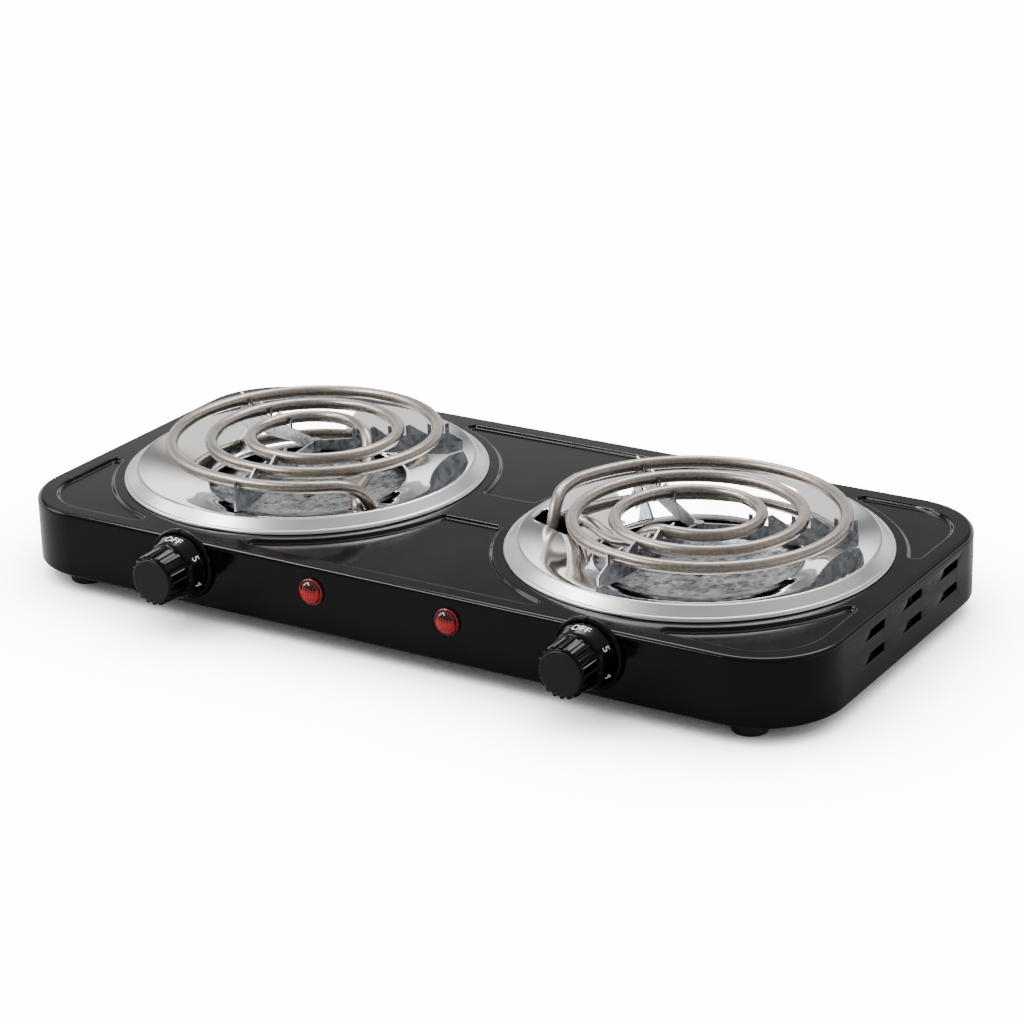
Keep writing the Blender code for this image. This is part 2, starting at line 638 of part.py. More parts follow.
def make_hinge(burner, frame, materials):
    """Make the clamp that holds both legs, and the bracket that it turns in."""
    low = INNER_LEG_SIDE - 0.0060
    high = OUTER_LEG_SIDE + 0.0060
    axis = (HINGE_RADIUS, 0, -HINGE_DROP)
    clamp = bmesh.new()
    add_box(clamp, (axis[0] - 0.0035, low, axis[2] - 0.0052), (axis[0] + 0.0030, high, axis[2] + 0.0052))
    clamp = add_mesh(burner["name"] + "_leg_clamp", clamp, materials["ceramic"])
    pins = bmesh.new()
    for inside, outside in ((low + 0.0015, low - 0.0048), (high - 0.0015, high + 0.0048)):
        add_cylinder(pins, 0.0018, (axis[0], inside, axis[2]), (axis[0], outside, axis[2]), 14)
    bores = bmesh.new()
    for side in (OUTER_LEG_SIDE, INNER_LEG_SIDE):
        add_cylinder(bores, TUBE_RADIUS + 0.0004, (axis[0] - 0.01, side, axis[2]),
                     (axis[0] + 0.01, side, axis[2]), 16)
    bracket = bmesh.new()
    sheet = 0.0014
    inner_low = low - 0.0015
    inner_high = high + 0.0015
    top = axis[2] + 0.0048
    floor = FLOOR_TOP + GAP - TOP_HEIGHT
    section = [(inner_low - sheet, floor), (inner_high + sheet, floor), (inner_high + sheet, top),
               (inner_high, top), (inner_high, floor + sheet), (inner_low, floor + sheet),
               (inner_low, top), (inner_low - sheet, top)]
    add_stack(bracket, [[(x, y, z) for y, z in section] for x in (axis[0] - 0.0048, axis[0] + 0.0048)])
    bracket = add_mesh(burner["name"] + "_hinge_bracket", bracket, materials["galvanised"])
    holes = bmesh.new()
    add_cylinder(holes, 0.0021, (axis[0], low - 0.02, axis[2]), (axis[0], high + 0.02, axis[2]), 14)
    tools = [add_mesh("join_" + burner["name"] + "_pins", pins),
             add_mesh("cut_" + burner["name"] + "_leg_bores", bores),
             add_mesh("cut_" + burner["name"] + "_hinge_holes", holes)]
    for item in [clamp, bracket] + tools:
        item.matrix_world = frame
    boolean(clamp, tools[0], "UNION")
    boolean(clamp, tools[1], "DIFFERENCE")
    boolean(bracket, tools[2], "DIFFERENCE")
    return clamp


def make_element(burner, materials):
    """Make one element: its tube, support and clamp turn together about the hinge."""
    frame = burner_frame(burner)
    seat = burner["seat"]
    tube = sweep(burner["name"] + "_coil", coil_path(seat), TUBE_RADIUS, materials["element_alloy"], 1)
    tube.matrix_world = frame
    support = make_spider(burner, frame, seat, materials)
    clamp = make_hinge(burner, frame, materials)
    hinge = bpy.data.objects.new(burner["name"] + "_element_hinge", None)
    bpy.context.collection.objects.link(hinge)
    hinge.matrix_world = frame @ Matrix.Translation((HINGE_RADIUS, 0, -HINGE_DROP))
    bpy.context.view_layer.update()
    for item in (tube, support, clamp):
        item.parent = hinge
        item.matrix_parent_inverse = hinge.matrix_world.inverted()


# ---------------------------------------------------------------- controls and wiring
def make_control(burner, materials):
    """Make one knob with its bezel, switch, shaft and fixing screws."""
    name = burner["name"]
    x = burner["side"] * KNOB_X + CONTROL_SHIFT_X
    grip = ((0, 0.0130), (0.0034, 0.0120), (0.0034, 0.0036), (0.0168, 0.0036), (0.0171, 0.0048),
            (0.0152, 0.0120), (0.0146, 0.0140), (0.0138, KNOB_REACH - 0.0022),
            (0.0128, KNOB_REACH - 0.0006), (0.0118, KNOB_REACH), (0, KNOB_REACH))
    knob = lathe(name + "_knob", grip, 40, materials["black_plastic"],
                 flutes=(20, 0.0009, 0.0139, KNOB_REACH - 0.0005))
    face_front(knob, x, FRONT_Y, CONTROL_Z)

    bezel = lathe(name + "_knob_bezel", ((0.0070, GAP), (0.0193, GAP), (0.0195, 0.0012),
                                         (0.0188, 0.0030), (0.0176, 0.0032), (0.0070, 0.0030)),
                  28, materials["black_plastic"], closed=True)
    face_front(bezel, x, FRONT_Y, CONTROL_Z)
    pointer = bmesh.new()
    add_box(pointer, (x - 0.0011, FRONT_Y - 0.0026, CONTROL_Z + 0.0184),
            (x + 0.0011, FRONT_Y - 0.0010, CONTROL_Z + 0.0206))
    boolean(bezel, add_mesh("join_" + name + "_pointer", pointer), "UNION")
    seat = ((0, -0.0020), (0.0016, -0.0020), (0.0016, 0.0015), (0.0028, 0.0015), (0.0028, 0.0050),
            (0, 0.0050))
    for sx in (-1, 1):
        tool = lathe("cut_" + name + "_screw_seat", seat, 16, materials["black_plastic"])
        face_front(tool, x + sx * SWITCH_SCREW_X, FRONT_Y, CONTROL_Z)
        boolean(bezel, tool, "DIFFERENCE")

    shaft = lathe(name + "_knob_shaft", ((0, -0.0100), (0.0030, -0.0100), (0.0030, 0.0110),
                                         (0.0026, 0.0116), (0, 0.0116)), 14, materials["zinc_screw"])
    face_front(shaft, x, FRONT_Y, CONTROL_Z)

    switch = bmesh.new()
    front = FRONT_Y + SHEET + GAP
    width, depth, height = SWITCH_SIZE
    add_box(switch, (x - width / 2, front, CONTROL_Z - height / 2),
            (x + width / 2, front + depth, CONTROL_Z + height / 2))
    switch = add_mesh(name + "_heat_switch", switch, materials["ceramic"])
    bore = bmesh.new()
    add_cylinder(bore, 0.0034, (x, front - 0.002, CONTROL_Z), (x, FRONT_Y + 0.0108, CONTROL_Z), 18)
    for sx in (-1, 1):
        place = x + sx * SWITCH_SCREW_X
        add_cylinder(bore, 0.0014, (place, front - 0.002, CONTROL_Z),
                     (place, front + 0.0085, CONTROL_Z), 12)
    boolean(switch, add_mesh("cut_" + name + "_switch_bores", bore), "DIFFERENCE")
    bolt = ((0, -0.0085), (0.0011, -0.0080), (0.0011, 0.0019), (0.0024, 0.0019),
            (0.0022, 0.0027), (0, 0.0029))
    for sx, label in ((-1, "_switch_screw_left"), (1, "_switch_screw_right")):
        screw = lathe(name + label, bolt, 12, materials["zinc_screw"])
        face_front(screw, x + sx * SWITCH_SCREW_X, FRONT_Y, CONTROL_Z)


def make_lamp(burner, materials):
    """Make one pilot lamp: its red lens, its body and the clip behind the panel."""
    name = burner["name"]
    x = burner["side"] * LAMP_X + CONTROL_SHIFT_X
    dome = [(0, -0.0060), (0.0052, -0.0060), (0.0052, GAP), (0.0072, GAP), (0.0072, 0.0012)]
    for k in range(1, 5):
        angle = math.radians(90 * k / 4)
        dome.append((0.0066 * math.cos(angle) if k < 4 else 0, 0.0012 + 0.0042 * math.sin(angle)))
    lens = lathe(name + "_lamp_lens", dome, 16, materials["red_lens"])
    face_front(lens, x, FRONT_Y, CONTROL_Z)
    back = -LAMP_SEAT
    rear = back - LAMP_BODY_DEPTH
    body = lathe(name + "_lamp_body", ((0, rear), (0.0048, rear), (0.0052, back), (0, back)), 14,
                 materials["nylon"])
    face_front(body, x, FRONT_Y, CONTROL_Z)
    clip = lathe(name + "_lamp_clip", ((0.0056, -0.0030), (0.0080, -0.0030), (0.0080, -0.0016),
                                       (0.0056, -0.0016)), 16, materials["galvanised"], closed=True)
    face_front(clip, x, FRONT_Y, CONTROL_Z)


def make_inlet(materials):
    """Make the rear cord gland and the terminal block behind it."""
    gland = lathe("cord_gland", ((0.0035, -0.0060), (0.0056, -0.0060), (0.0056, GAP),
                                 (0.0080, GAP), (0.0080, 0.0020), (0.0058, 0.0030),
                                 (0.0050, GLAND_REACH), (0.0035, GLAND_REACH)), 16,
                  materials["rubber"], closed=True)
    gland.rotation_euler = (math.radians(-90), 0, 0)
    gland.location = (0, REAR_Y, CONTROL_Z)
    block = bmesh.new()
    low_z = FLOOR_TOP + GAP
    y = REAR_Y - BLOCK_REAR_GAP
    width, depth, height = BLOCK_SIZE
    add_box(block, (-width / 2, y - depth / 2, low_z), (width / 2, y + depth / 2, low_z + height))
    block = add_mesh("terminal_block", block, materials["nylon"])
    bores = bmesh.new()
    for k in (-1, 0, 1):
        add_cylinder(bores, 0.0019, (k * TERMINAL_PITCH, y - depth, low_z + TERMINAL_HEIGHT),
                     (k * TERMINAL_PITCH, y + depth, low_z + TERMINAL_HEIGHT), 12)
    boolean(block, add_mesh("cut_block_bores", bores), "DIFFERENCE")


def make_wires(materials):
    """Make the internal wires between block, switches, lamps and elements."""
    block_y = REAR_Y - BLOCK_REAR_GAP - BLOCK_SIZE[1] / 2 - GAP
    block_z = FLOOR_TOP + GAP + TERMINAL_HEIGHT
    low = FLOOR_TOP + 0.0024
    switch_back = FRONT_Y + SHEET + GAP + SWITCH_SIZE[1] + GAP
    lamp_back = FRONT_Y + LAMP_SEAT + LAMP_BODY_DEPTH + GAP
    for burner in BURNERS:
        side = burner["side"]
        knob_x = side * KNOB_X + CONTROL_SHIFT_X
        lamp_x = side * LAMP_X + CONTROL_SHIFT_X
        first = side * TERMINAL_PITCH
        switch_side = knob_x - side * (SWITCH_SIZE[0] / 2 + GAP)
        supply = smooth_path([(first, block_y, block_z), (first, block_y - 0.012, block_z),
                              (side * 0.012, block_y - 0.030, low), (side * 0.016, FRONT_Y + 0.070, low),
                              (side * 0.046, FRONT_Y + 0.040, low),
                              (knob_x - side * 0.012, switch_back + 0.012, CONTROL_Z - 0.0162),
                              (knob_x - side * 0.006, switch_back + 0.005, CONTROL_Z - 0.004),
                              (knob_x - side * 0.006, switch_back, CONTROL_Z - 0.004)], 3)
        sweep(burner["name"] + "_supply_wire", supply, SUPPLY_RADIUS, materials["wire_white"], 0)
        lead = smooth_path([(lamp_x, lamp_back, CONTROL_Z),
                            (lamp_x, lamp_back + 0.006, CONTROL_Z - 0.001),
                            (lamp_x + side * 0.012, lamp_back + 0.014, low + 0.008),
                            (knob_x - side * 0.030, lamp_back + 0.010, low + 0.006),
                            (knob_x - side * 0.018, FRONT_Y + 0.013, CONTROL_Z - 0.006),
                            (switch_side, FRONT_Y + 0.012, CONTROL_Z - 0.006)], 3)
        sweep(burner["name"] + "_lamp_wire", lead, LAMP_WIRE_RADIUS, materials["wire_white"], 0)


def build():
    """Build the whole appliance."""
    clear_scene()
    materials = make_materials()
    make_housing(materials)
    make_base(materials)
    for burner in BURNERS:
        make_pan(burner, materials)
        make_element(burner, materials)
        make_control(burner, materials)
        make_lamp(burner, materials)
    make_inlet(materials)
    make_wires(materials)


build()
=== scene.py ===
"""Looks of a countertop hot plate with two coil burners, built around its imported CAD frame."""
from __future__ import annotations

import json
import logging
import math
from dataclasses import dataclass, field
from enum import Enum
from typing import Callable, Iterable, Sequence

import bmesh
import bpy
from mathutils import Matrix, Vector

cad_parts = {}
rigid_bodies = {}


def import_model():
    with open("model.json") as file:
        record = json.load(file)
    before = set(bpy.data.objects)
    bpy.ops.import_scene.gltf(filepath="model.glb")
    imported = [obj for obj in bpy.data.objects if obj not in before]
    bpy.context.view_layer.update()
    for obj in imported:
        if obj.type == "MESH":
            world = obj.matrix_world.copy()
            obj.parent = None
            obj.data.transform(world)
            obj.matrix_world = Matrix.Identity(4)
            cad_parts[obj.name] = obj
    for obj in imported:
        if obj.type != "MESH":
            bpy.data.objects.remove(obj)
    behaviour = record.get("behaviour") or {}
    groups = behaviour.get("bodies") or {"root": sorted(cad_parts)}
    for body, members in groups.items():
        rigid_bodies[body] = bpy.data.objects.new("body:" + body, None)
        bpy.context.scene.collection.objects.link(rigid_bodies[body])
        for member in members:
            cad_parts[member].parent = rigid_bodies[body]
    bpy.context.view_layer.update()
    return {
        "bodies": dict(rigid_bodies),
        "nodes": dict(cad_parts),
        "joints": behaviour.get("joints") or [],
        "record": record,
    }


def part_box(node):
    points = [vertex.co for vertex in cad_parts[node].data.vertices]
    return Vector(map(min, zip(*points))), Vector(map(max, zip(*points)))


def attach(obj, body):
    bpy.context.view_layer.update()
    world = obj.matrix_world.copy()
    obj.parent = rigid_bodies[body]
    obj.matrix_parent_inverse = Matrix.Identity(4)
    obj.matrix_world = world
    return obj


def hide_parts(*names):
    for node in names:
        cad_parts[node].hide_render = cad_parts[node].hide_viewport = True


LOG = logging.getLogger("hot_plate")
MM = 0.001
TURN = 2 * math.pi
SIDES = ("left", "right")
ENDS = ("front", "rear")

Flat = tuple[float, float]
Solid = tuple[float, float, float]
Profile = Sequence[Flat]
Socket = bpy.types.NodeSocket
Sockets = tuple[Socket, Socket, Socket]

# What every finish shares, and where a pan's bright dish turns into its satin band.
COAT_ROUGHNESS = 0.06
RELIEF_HEIGHT = 0.2 * MM
SATIN_EDGE: Flat = (92.6 * MM, 93.4 * MM)


# ---------------------------------------------------------------- finishes
class Grain(Enum):
    """The surface detail that a finish shows."""

    PEEL = "peel"
    TURNED = "turned"
    SPANGLE = "spangle"
    DRAWN = "drawn"
    MOULDED = "moulded"
    RIBBED = "ribbed"


@dataclass(frozen=True)
class Finish:
    """One finish: its colours, its gloss and the grain that varies both."""

    name: str
    slot: str
    dark: Solid
    light: Solid
    roughness: Flat
    grain: Grain
    metallic: float = 0.0
    specular: float = 0.5
    coat: float = 0.0
    bump: float = 0.1
    scale: float = 400.0

    def make(self, suffix: str = "", centre: Solid = (0.0, 0.0, 0.0)) -> bpy.types.Material:
        """Build the finish as a node material.

        Args:
            suffix: Added to the material's name, for a copy centred on one piece.
            centre: Where the pattern is centred, in metres.

        Returns:
            The new material.
        """
        material = bpy.data.materials.new(self.name + suffix)
        material.use_nodes = True
        graph = Graph(material.node_tree)
        shader = material.node_tree.nodes["Principled BSDF"]
        shader.inputs["Metallic"].default_value = self.metallic
        shader.inputs["Specular IOR Level"].default_value = self.specular
        shader.inputs["Coat Weight"].default_value = self.coat
        shader.inputs["Coat Roughness"].default_value = COAT_ROUGHNESS
        place = graph.add("ShaderNodeTexCoord").outputs["Object"]
        mapping = graph.add("ShaderNodeMapping")
        mapping.inputs["Location"].default_value = tuple(-value for value in centre)
        graph.link(place, mapping.inputs["Vector"])
        tint, gloss, relief = GRAINS[self.grain](graph, mapping.outputs["Vector"], self.scale)
        colour = graph.ramp(tint, self.dark, self.light)
        graph.link(colour, shader.inputs["Base Color"])
        graph.link(graph.between(gloss, *self.roughness), shader.inputs["Roughness"])
        bump = graph.add("ShaderNodeBump")
        bump.inputs["Strength"].default_value = self.bump
        bump.inputs["Distance"].default_value = RELIEF_HEIGHT
        graph.link(relief, bump.inputs["Height"])
        graph.link(bump.outputs["Normal"], shader.inputs["Normal"])
        return material


@dataclass(frozen=True)
class Graph:
    """A shader tree with short calls for what every finish needs."""

    tree: bpy.types.NodeTree

    def add(self, kind: str, **settings: object) -> bpy.types.Node:
        """Add a node.

        Args:
            kind: The node's type name.
            settings: Properties of the node.

        Returns:
            The new node.
        """
        node = self.tree.nodes.new(kind)
        for name, value in settings.items():
            setattr(node, name, value)
        return node

    def link(self, source: Socket, target: Socket) -> None:
        """Join an output to an input."""
        self.tree.links.new(source, target)

    def noise(self, vector: Socket, scale: float, detail: float = 2.0,
              stretch: Solid = (1.0, 1.0, 1.0)) -> Socket:
        """Add stretched noise.

        Args:
            vector: The coordinates to read.
            scale: The noise's scale.
            detail: The noise's detail.
            stretch: A factor for each axis of the coordinates.

        Returns:
            The noise's value, from 0 to 1.
        """
        mapping = self.add("ShaderNodeMapping")
        mapping.inputs["Scale"].default_value = stretch
        self.link(vector, mapping.inputs["Vector"])
        noise = self.add("ShaderNodeTexNoise")
        noise.inputs["Scale"].default_value = scale
        noise.inputs["Detail"].default_value = detail
        self.link(mapping.outputs["Vector"], noise.inputs["Vector"])
        return noise.outputs["Fac"]

    def math(self, operation: str, first: Socket,
             second: Socket | float) -> Socket:
        """Add a two-input Math node.

        Args:
            operation: What the node works out.
            first: The first input.
            second: The second input, as a socket to link or a number to set.

        Returns:
            The node's value.
        """
        node = self.add("ShaderNodeMath", operation=operation)
        self.link(first, node.inputs[0])
        if isinstance(second, (int, float)):
            node.inputs[1].default_value = second
        else:
            self.link(second, node.inputs[1])
        return node.outputs["Value"]

    def between(self, value: Socket, low: float, high: float,
                start: float = 0.0, end: float = 1.0) -> Socket:
        """Map a value smoothly onto a range.

        Args:
            value: The value to map.
            low: The result at start.
            high: The result at end.
            start: The value that gives low.
            end: The value that gives high.

        Returns:
            The mapped value.
        """
        node = self.add("ShaderNodeMapRange", interpolation_type="SMOOTHSTEP")
        self.link(value, node.inputs["Value"])
        for name, number in (("From Min", start), ("From Max", end), ("To Min", low), ("To Max", high)):
            node.inputs[name].default_value = number
        return node.outputs["Result"]

    def ramp(self, value: Socket, dark: Solid, light: Solid) -> Socket:
        """Blend two colours by a value.

        Args:
            value: The value, which gives one colour below 0.25 and the other above 0.75.
            dark: The colour at the low end.
            light: The colour at the high end.

        Returns:
            The blended colour.
        """
        node = self.add("ShaderNodeValToRGB")
        for stop, position, colour in zip(node.color_ramp.elements, (0.25, 0.75), (dark, light)):
            stop.position = position
            stop.color = (*colour, 1.0)
        self.link(value, node.inputs["Fac"])
        return node.outputs["Color"]

    def radius(self, vector: Socket) -> Socket:
        """Measure the distance from the vertical axis through the pattern's centre.

        Args:
            vector: The coordinates to read.

        Returns:
            The distance in metres.
        """
        flat = self.add("ShaderNodeVectorMath", operation="MULTIPLY")
        flat.inputs[1].default_value = (1.0, 1.0, 0.0)
        self.link(vector, flat.inputs[0])
        length = self.add("ShaderNodeVectorMath", operation="LENGTH")
        self.link(flat.outputs["Vector"], length.inputs[0])
        return length.outputs["Value"]


def peel_grain(graph: Graph, place: Socket, scale: float) -> Sockets:
    """Return the tint, gloss and relief of paint with faint orange peel."""
    return graph.noise(place, 9.0), graph.noise(place, 30.0, 4.0), graph.noise(place, scale, 1.0)


def turned_grain(graph: Graph, place: Socket, scale: float) -> Sockets:
    """Make spun sheet, satin on its outer band and bright in its dish.

    Args:
        graph: The finish's tree.
        place: The coordinates that the pattern reads, from the pan's centre.
        scale: The scale of the turning lines.

    Returns:
        The tint, gloss and relief.
    """
    radius = graph.radius(place)
    rings = graph.add("ShaderNodeTexNoise", noise_dimensions="1D")
    rings.inputs["Scale"].default_value = scale
    graph.link(radius, rings.inputs["W"])
    satin = graph.between(radius, 0.0, 0.75, *SATIN_EDGE)
    smear = graph.math("MULTIPLY", graph.noise(place, 24.0, 3.0), 0.12)
    cloud = graph.math("MULTIPLY", graph.noise(place, 14.0), 0.3)
    tint = graph.math("SUBTRACT", graph.math("ADD", cloud, 0.6), satin)
    lines = graph.math("MULTIPLY", rings.outputs["Fac"], satin)
    return tint, graph.math("ADD", satin, smear), lines


def spangle_grain(graph: Graph, place: Socket, scale: float) -> Sockets:
    """Make zinc-coated sheet with crystal spangle.

    Args:
        graph: The finish's tree.
        place: The coordinates that the pattern reads.
        scale: The scale of the crystals.

    Returns:
        The tint, gloss and relief.
    """
    cells = graph.add("ShaderNodeTexVoronoi")
    cells.inputs["Scale"].default_value = scale
    graph.link(place, cells.inputs["Vector"])
    shade = graph.add("ShaderNodeRGBToBW")
    graph.link(cells.outputs["Color"], shade.inputs["Color"])
    cloud = graph.noise(place, scale * 0.4, 5.0)
    tint = graph.math("MULTIPLY", graph.math("ADD", shade.outputs["Val"], cloud), 0.5)
    return tint, cloud, graph.noise(place, scale * 2.5, 3.0)


def drawn_grain(graph: Graph, place: Socket, scale: float) -> Sockets:
    """Make drawn tube, marked along its length and stained by heat.

    Args:
        graph: The finish's tree.
        place: The coordinates that the stain reads; the streaks follow the tube's own attributes.
        scale: The scale of the streaks.

    Returns:
        The tint, gloss and relief.
    """
    route = graph.add("ShaderNodeCombineXYZ")
    for axis, name in (("X", "along"), ("Y", "around")):
        graph.link(graph.add("ShaderNodeAttribute", attribute_name=name).outputs["Fac"], route.inputs[axis])
    stain = graph.noise(place, 620.0, 6.0)
    streak = graph.noise(route.outputs["Vector"], scale, 3.0, (0.12, 2.4, 1.0))
    tint = graph.math("ADD", graph.math("MULTIPLY", stain, 0.6), graph.math("MULTIPLY", streak, 0.4))
    return tint, streak, graph.noise(place, 900.0, 2.0)


def moulded_grain(graph: Graph, place: Socket, scale: float) -> Sockets:
    """Return the tint, gloss and relief of moulded plastic or rubber with a fine matt texture."""
    return graph.noise(place, 60.0), graph.noise(place, 160.0, 3.0), graph.noise(place, scale, 2.0)


def ribbed_grain(graph: Graph, place: Socket, scale: float) -> Sockets:
    """Make lens plastic that is darker towards its top and shows its inner ribs as stripes.

    Args:
        graph: The finish's tree.
        Make lens plastic with painted shade that darkens it towards its top, and its inner ribs shown as
        stripes.
        scale: How fast the ribs follow each other across the lens, in radians for each metre.

    Returns:
        The tint, gloss and relief.
    """
    axes = graph.add("ShaderNodeSeparateXYZ")
    graph.link(place, axes.inputs["Vector"])
    across = graph.math("MULTIPLY", axes.outputs["X"], scale)
    wave = graph.math("MULTIPLY", graph.math("SINE", across, 0.0), 0.22)
    # Painted shade: the dome's colour darkens from just below its centre towards its top.
    height = graph.between(axes.outputs["Z"], 0.75, 0.05, -1.0 * MM, 4.2 * MM)
    spot = graph.noise(place, 420.0, 2.0)
    tint = graph.math("ADD", graph.math("ADD", height, wave), graph.math("MULTIPLY", spot, 0.25))
    return tint, spot, spot


GRAINS: dict[Grain, Callable[[Graph, Socket, float], Sockets]] = {
    Grain.PEEL: peel_grain,
    Grain.TURNED: turned_grain,
    Grain.SPANGLE: spangle_grain,
    Grain.DRAWN: drawn_grain,
    Grain.MOULDED: moulded_grain,
    Grain.RIBBED: ribbed_grain,
}

ENAMEL = Finish("black_enamel", "black_paint", (0.0010, 0.0010, 0.0011), (0.0022, 0.0022, 0.0024),
                (0.09, 0.15), Grain.PEEL, specular=0.13, bump=0.030, scale=520.0)
TRAY_PAINT = Finish("tray_paint", "black_steel", (0.0040, 0.0040, 0.0042), (0.0075, 0.0075, 0.0078),
                    (0.30, 0.42), Grain.PEEL, specular=0.25, bump=0.06, scale=700.0)
CHROME = Finish("pan_chrome", "chrome", (0.44, 0.43, 0.42), (0.78, 0.78, 0.77),
                (0.03, 0.34), Grain.TURNED, metallic=1.0, bump=0.10, scale=2600.0)
SHIELD_ZINC = Finish("shield_zinc", "galvanised", (0.06, 0.063, 0.066), (0.36, 0.375, 0.39),
                     (0.20, 0.44), Grain.SPANGLE, metallic=1.0, bump=0.22, scale=430.0)
SUPPORT_ZINC = Finish("support_zinc", "galvanised", (0.13, 0.14, 0.155), (0.33, 0.35, 0.38),
                      (0.26, 0.46), Grain.SPANGLE, metallic=1.0, bump=0.10, scale=480.0)
SHEATH = Finish("element_sheath", "element_alloy", (0.138, 0.117, 0.102), (0.325, 0.288, 0.257),
                (0.28, 0.42), Grain.DRAWN, metallic=1.0, bump=0.06, scale=90.0)
KNOB_GLOSS = Finish("knob_gloss", "black_plastic", (0.0012, 0.0012, 0.0013), (0.0024, 0.0024, 0.0026),
                    (0.12, 0.20), Grain.MOULDED, specular=0.10, bump=0.03, scale=1400.0)
KNOB_MATT = Finish("knob_matt", "black_plastic", (0.0024, 0.0024, 0.0026), (0.0042, 0.0042, 0.0045),
                   (0.32, 0.42), Grain.MOULDED, specular=0.22, bump=0.20, scale=2400.0)
# The red lens's ramp also carries painted shade, darker towards the dome's top.
LENS_RED = Finish("lens_red", "red_lens", (0.008, 0.0001, 0.0001), (0.40, 0.0016, 0.0014),
                  (0.05, 0.10), Grain.RIBBED, specular=0.3, coat=0.3, bump=0.06, scale=4200.0)
LENS_RIM = Finish("lens_rim", "red_lens", (0.08, 0.002, 0.002), (0.20, 0.004, 0.004),
                  (0.10, 0.18), Grain.MOULDED, specular=0.4, coat=0.3, bump=0.03, scale=900.0)
RUBBER = Finish("foot_rubber", "rubber", (0.010, 0.010, 0.010), (0.020, 0.020, 0.020),
                (0.60, 0.75), Grain.MOULDED, specular=0.30, bump=0.25, scale=1200.0)
LEGEND = Finish("legend_ink", "wire_white", (0.66, 0.66, 0.66), (0.78, 0.78, 0.78),
                (0.40, 0.55), Grain.MOULDED, bump=0.05, scale=1800.0)
CERAMIC = Finish("ceramic_body", "ceramic", (0.62, 0.59, 0.52), (0.74, 0.71, 0.65),
                 (0.55, 0.70), Grain.MOULDED, bump=0.25, scale=700.0)
NYLON = Finish("nylon_body", "nylon", (0.58, 0.56, 0.48), (0.70, 0.68, 0.61),
               (0.38, 0.50), Grain.MOULDED, bump=0.10, scale=900.0)
SCREW_ZINC = Finish("screw_zinc", "zinc_screw", (0.42, 0.42, 0.41), (0.68, 0.68, 0.66),
                    (0.22, 0.38), Grain.SPANGLE, metallic=1.0, bump=0.08, scale=500.0)
WIRE = Finish("wire_sleeve", "wire_white", (0.60, 0.60, 0.57), (0.74, 0.74, 0.71),
              (0.45, 0.58), Grain.MOULDED, bump=0.08, scale=1500.0)


# ---------------------------------------------------------------- mesh tools
def in_mm(*points: Flat) -> tuple[Flat, ...]:
    """Return points that are given in millimetres, in metres."""
    return tuple((x * MM, y * MM) for x, y in points)


def add_loop(shape: bmesh.types.BMesh, points: Iterable[Solid]) -> list[bmesh.types.BMVert]:
    """Add one vertex for each point, in order, and return them."""
    return [shape.verts.new(point) for point in points]


def bridge(shape: bmesh.types.BMesh, first: list, second: list, closed: bool = True) -> None:
    """Join two loops of the same count with faces.

    Args:
        shape: The mesh to add to.
        first: The first loop's vertices.
        second: The second loop's vertices.
        closed: Whether the loops run all the way round.
    """
    count = len(first)
    for k in range(count if closed else count - 1):
        n = (k + 1) % count
        corners = []
        for vert in (first[k], first[n], second[n], second[k]):
            if vert not in corners:
                corners.append(vert)
        shape.faces.new(corners)


def fill(shape: bmesh.types.BMesh, loops: Iterable[list], normal: Solid) -> None:
    """Fill a flat outline that may have holes.

    Args:
        shape: The mesh to add to.
        loops: The outline's vertices and those of each hole.
        normal: The way the new faces point.
    """
    edges = []
    for loop in loops:
        for k, vert in enumerate(loop):
            pair = (vert, loop[(k + 1) % len(loop)])
            edges.append(shape.edges.get(pair) or shape.edges.new(pair))
    bmesh.ops.triangle_fill(shape, use_beauty=True, edges=edges, normal=normal)


def finish_mesh(name: str, shape: bmesh.types.BMesh, material: bpy.types.Material,
                sharp: float = 35.0) -> bpy.types.Object:
    """Turn a bmesh into a linked, smooth object with outward faces.

    Args:
        name: The object's name.
        shape: The bmesh, which is freed.
        material: The object's material.
        sharp: Edges that turn by more than this many degrees stay crisp.

    Returns:
        The new object.
    """
    bmesh.ops.remove_doubles(shape, verts=shape.verts[:], dist=0.001 * MM)
    bmesh.ops.recalc_face_normals(shape, faces=shape.faces[:])
    mesh = bpy.data.meshes.new(name)
    shape.to_mesh(mesh)
    shape.free()
    return wrap(name, mesh, material, sharp)


def wrap(name: str, mesh: bpy.types.Mesh, material: bpy.types.Material,
         sharp: float = 35.0) -> bpy.types.Object:
    """Put a mesh in a new object, shade it smooth and give it its material.

    Args:
        name: The object's name.
        mesh: The mesh.
        material: The object's material.
        sharp: Edges that turn by more than this many degrees stay crisp.

    Returns:
        The new object.
    """
    mesh.materials.clear()
    mesh.materials.append(material)
    mesh.shade_smooth()
    mesh.set_sharp_from_angle(angle=math.radians(sharp))
    item = bpy.data.objects.new(name, mesh)
    bpy.context.scene.collection.objects.link(item)
    return item


def thicken(item: bpy.types.Object, sheet: float) -> None:
    """Give a single skin its sheet's thickness, inwards."""
    wall = item.modifiers.new("sheet", "SOLIDIFY")
    wall.thickness, wall.offset = sheet, -1.0


def even_shading(item: bpy.types.Object) -> None:
    """Let large flat faces keep their own normals, so that walls shade evenly."""
    item.modifiers.new("shading", "WEIGHTED_NORMAL").keep_sharp = True


def applied(item: bpy.types.Object, *helpers: bpy.types.Object) -> bpy.types.Object:
    """Turn an object's modifiers into plain mesh and remove the helpers it used.

    Args:
        item: The object whose modifiers are applied.
        helpers: Objects that only the modifiers needed.

    Returns:
        The same object.
    """
    bpy.context.view_layer.update()
    graph = bpy.context.evaluated_depsgraph_get()
    mesh = bpy.data.meshes.new_from_object(item.evaluated_get(graph), preserve_all_data_layers=True,
                                           depsgraph=graph)
    item.modifiers.clear()
    item.data = mesh
    for helper in helpers:
        bpy.data.objects.remove(helper, do_unlink=True)
    return item


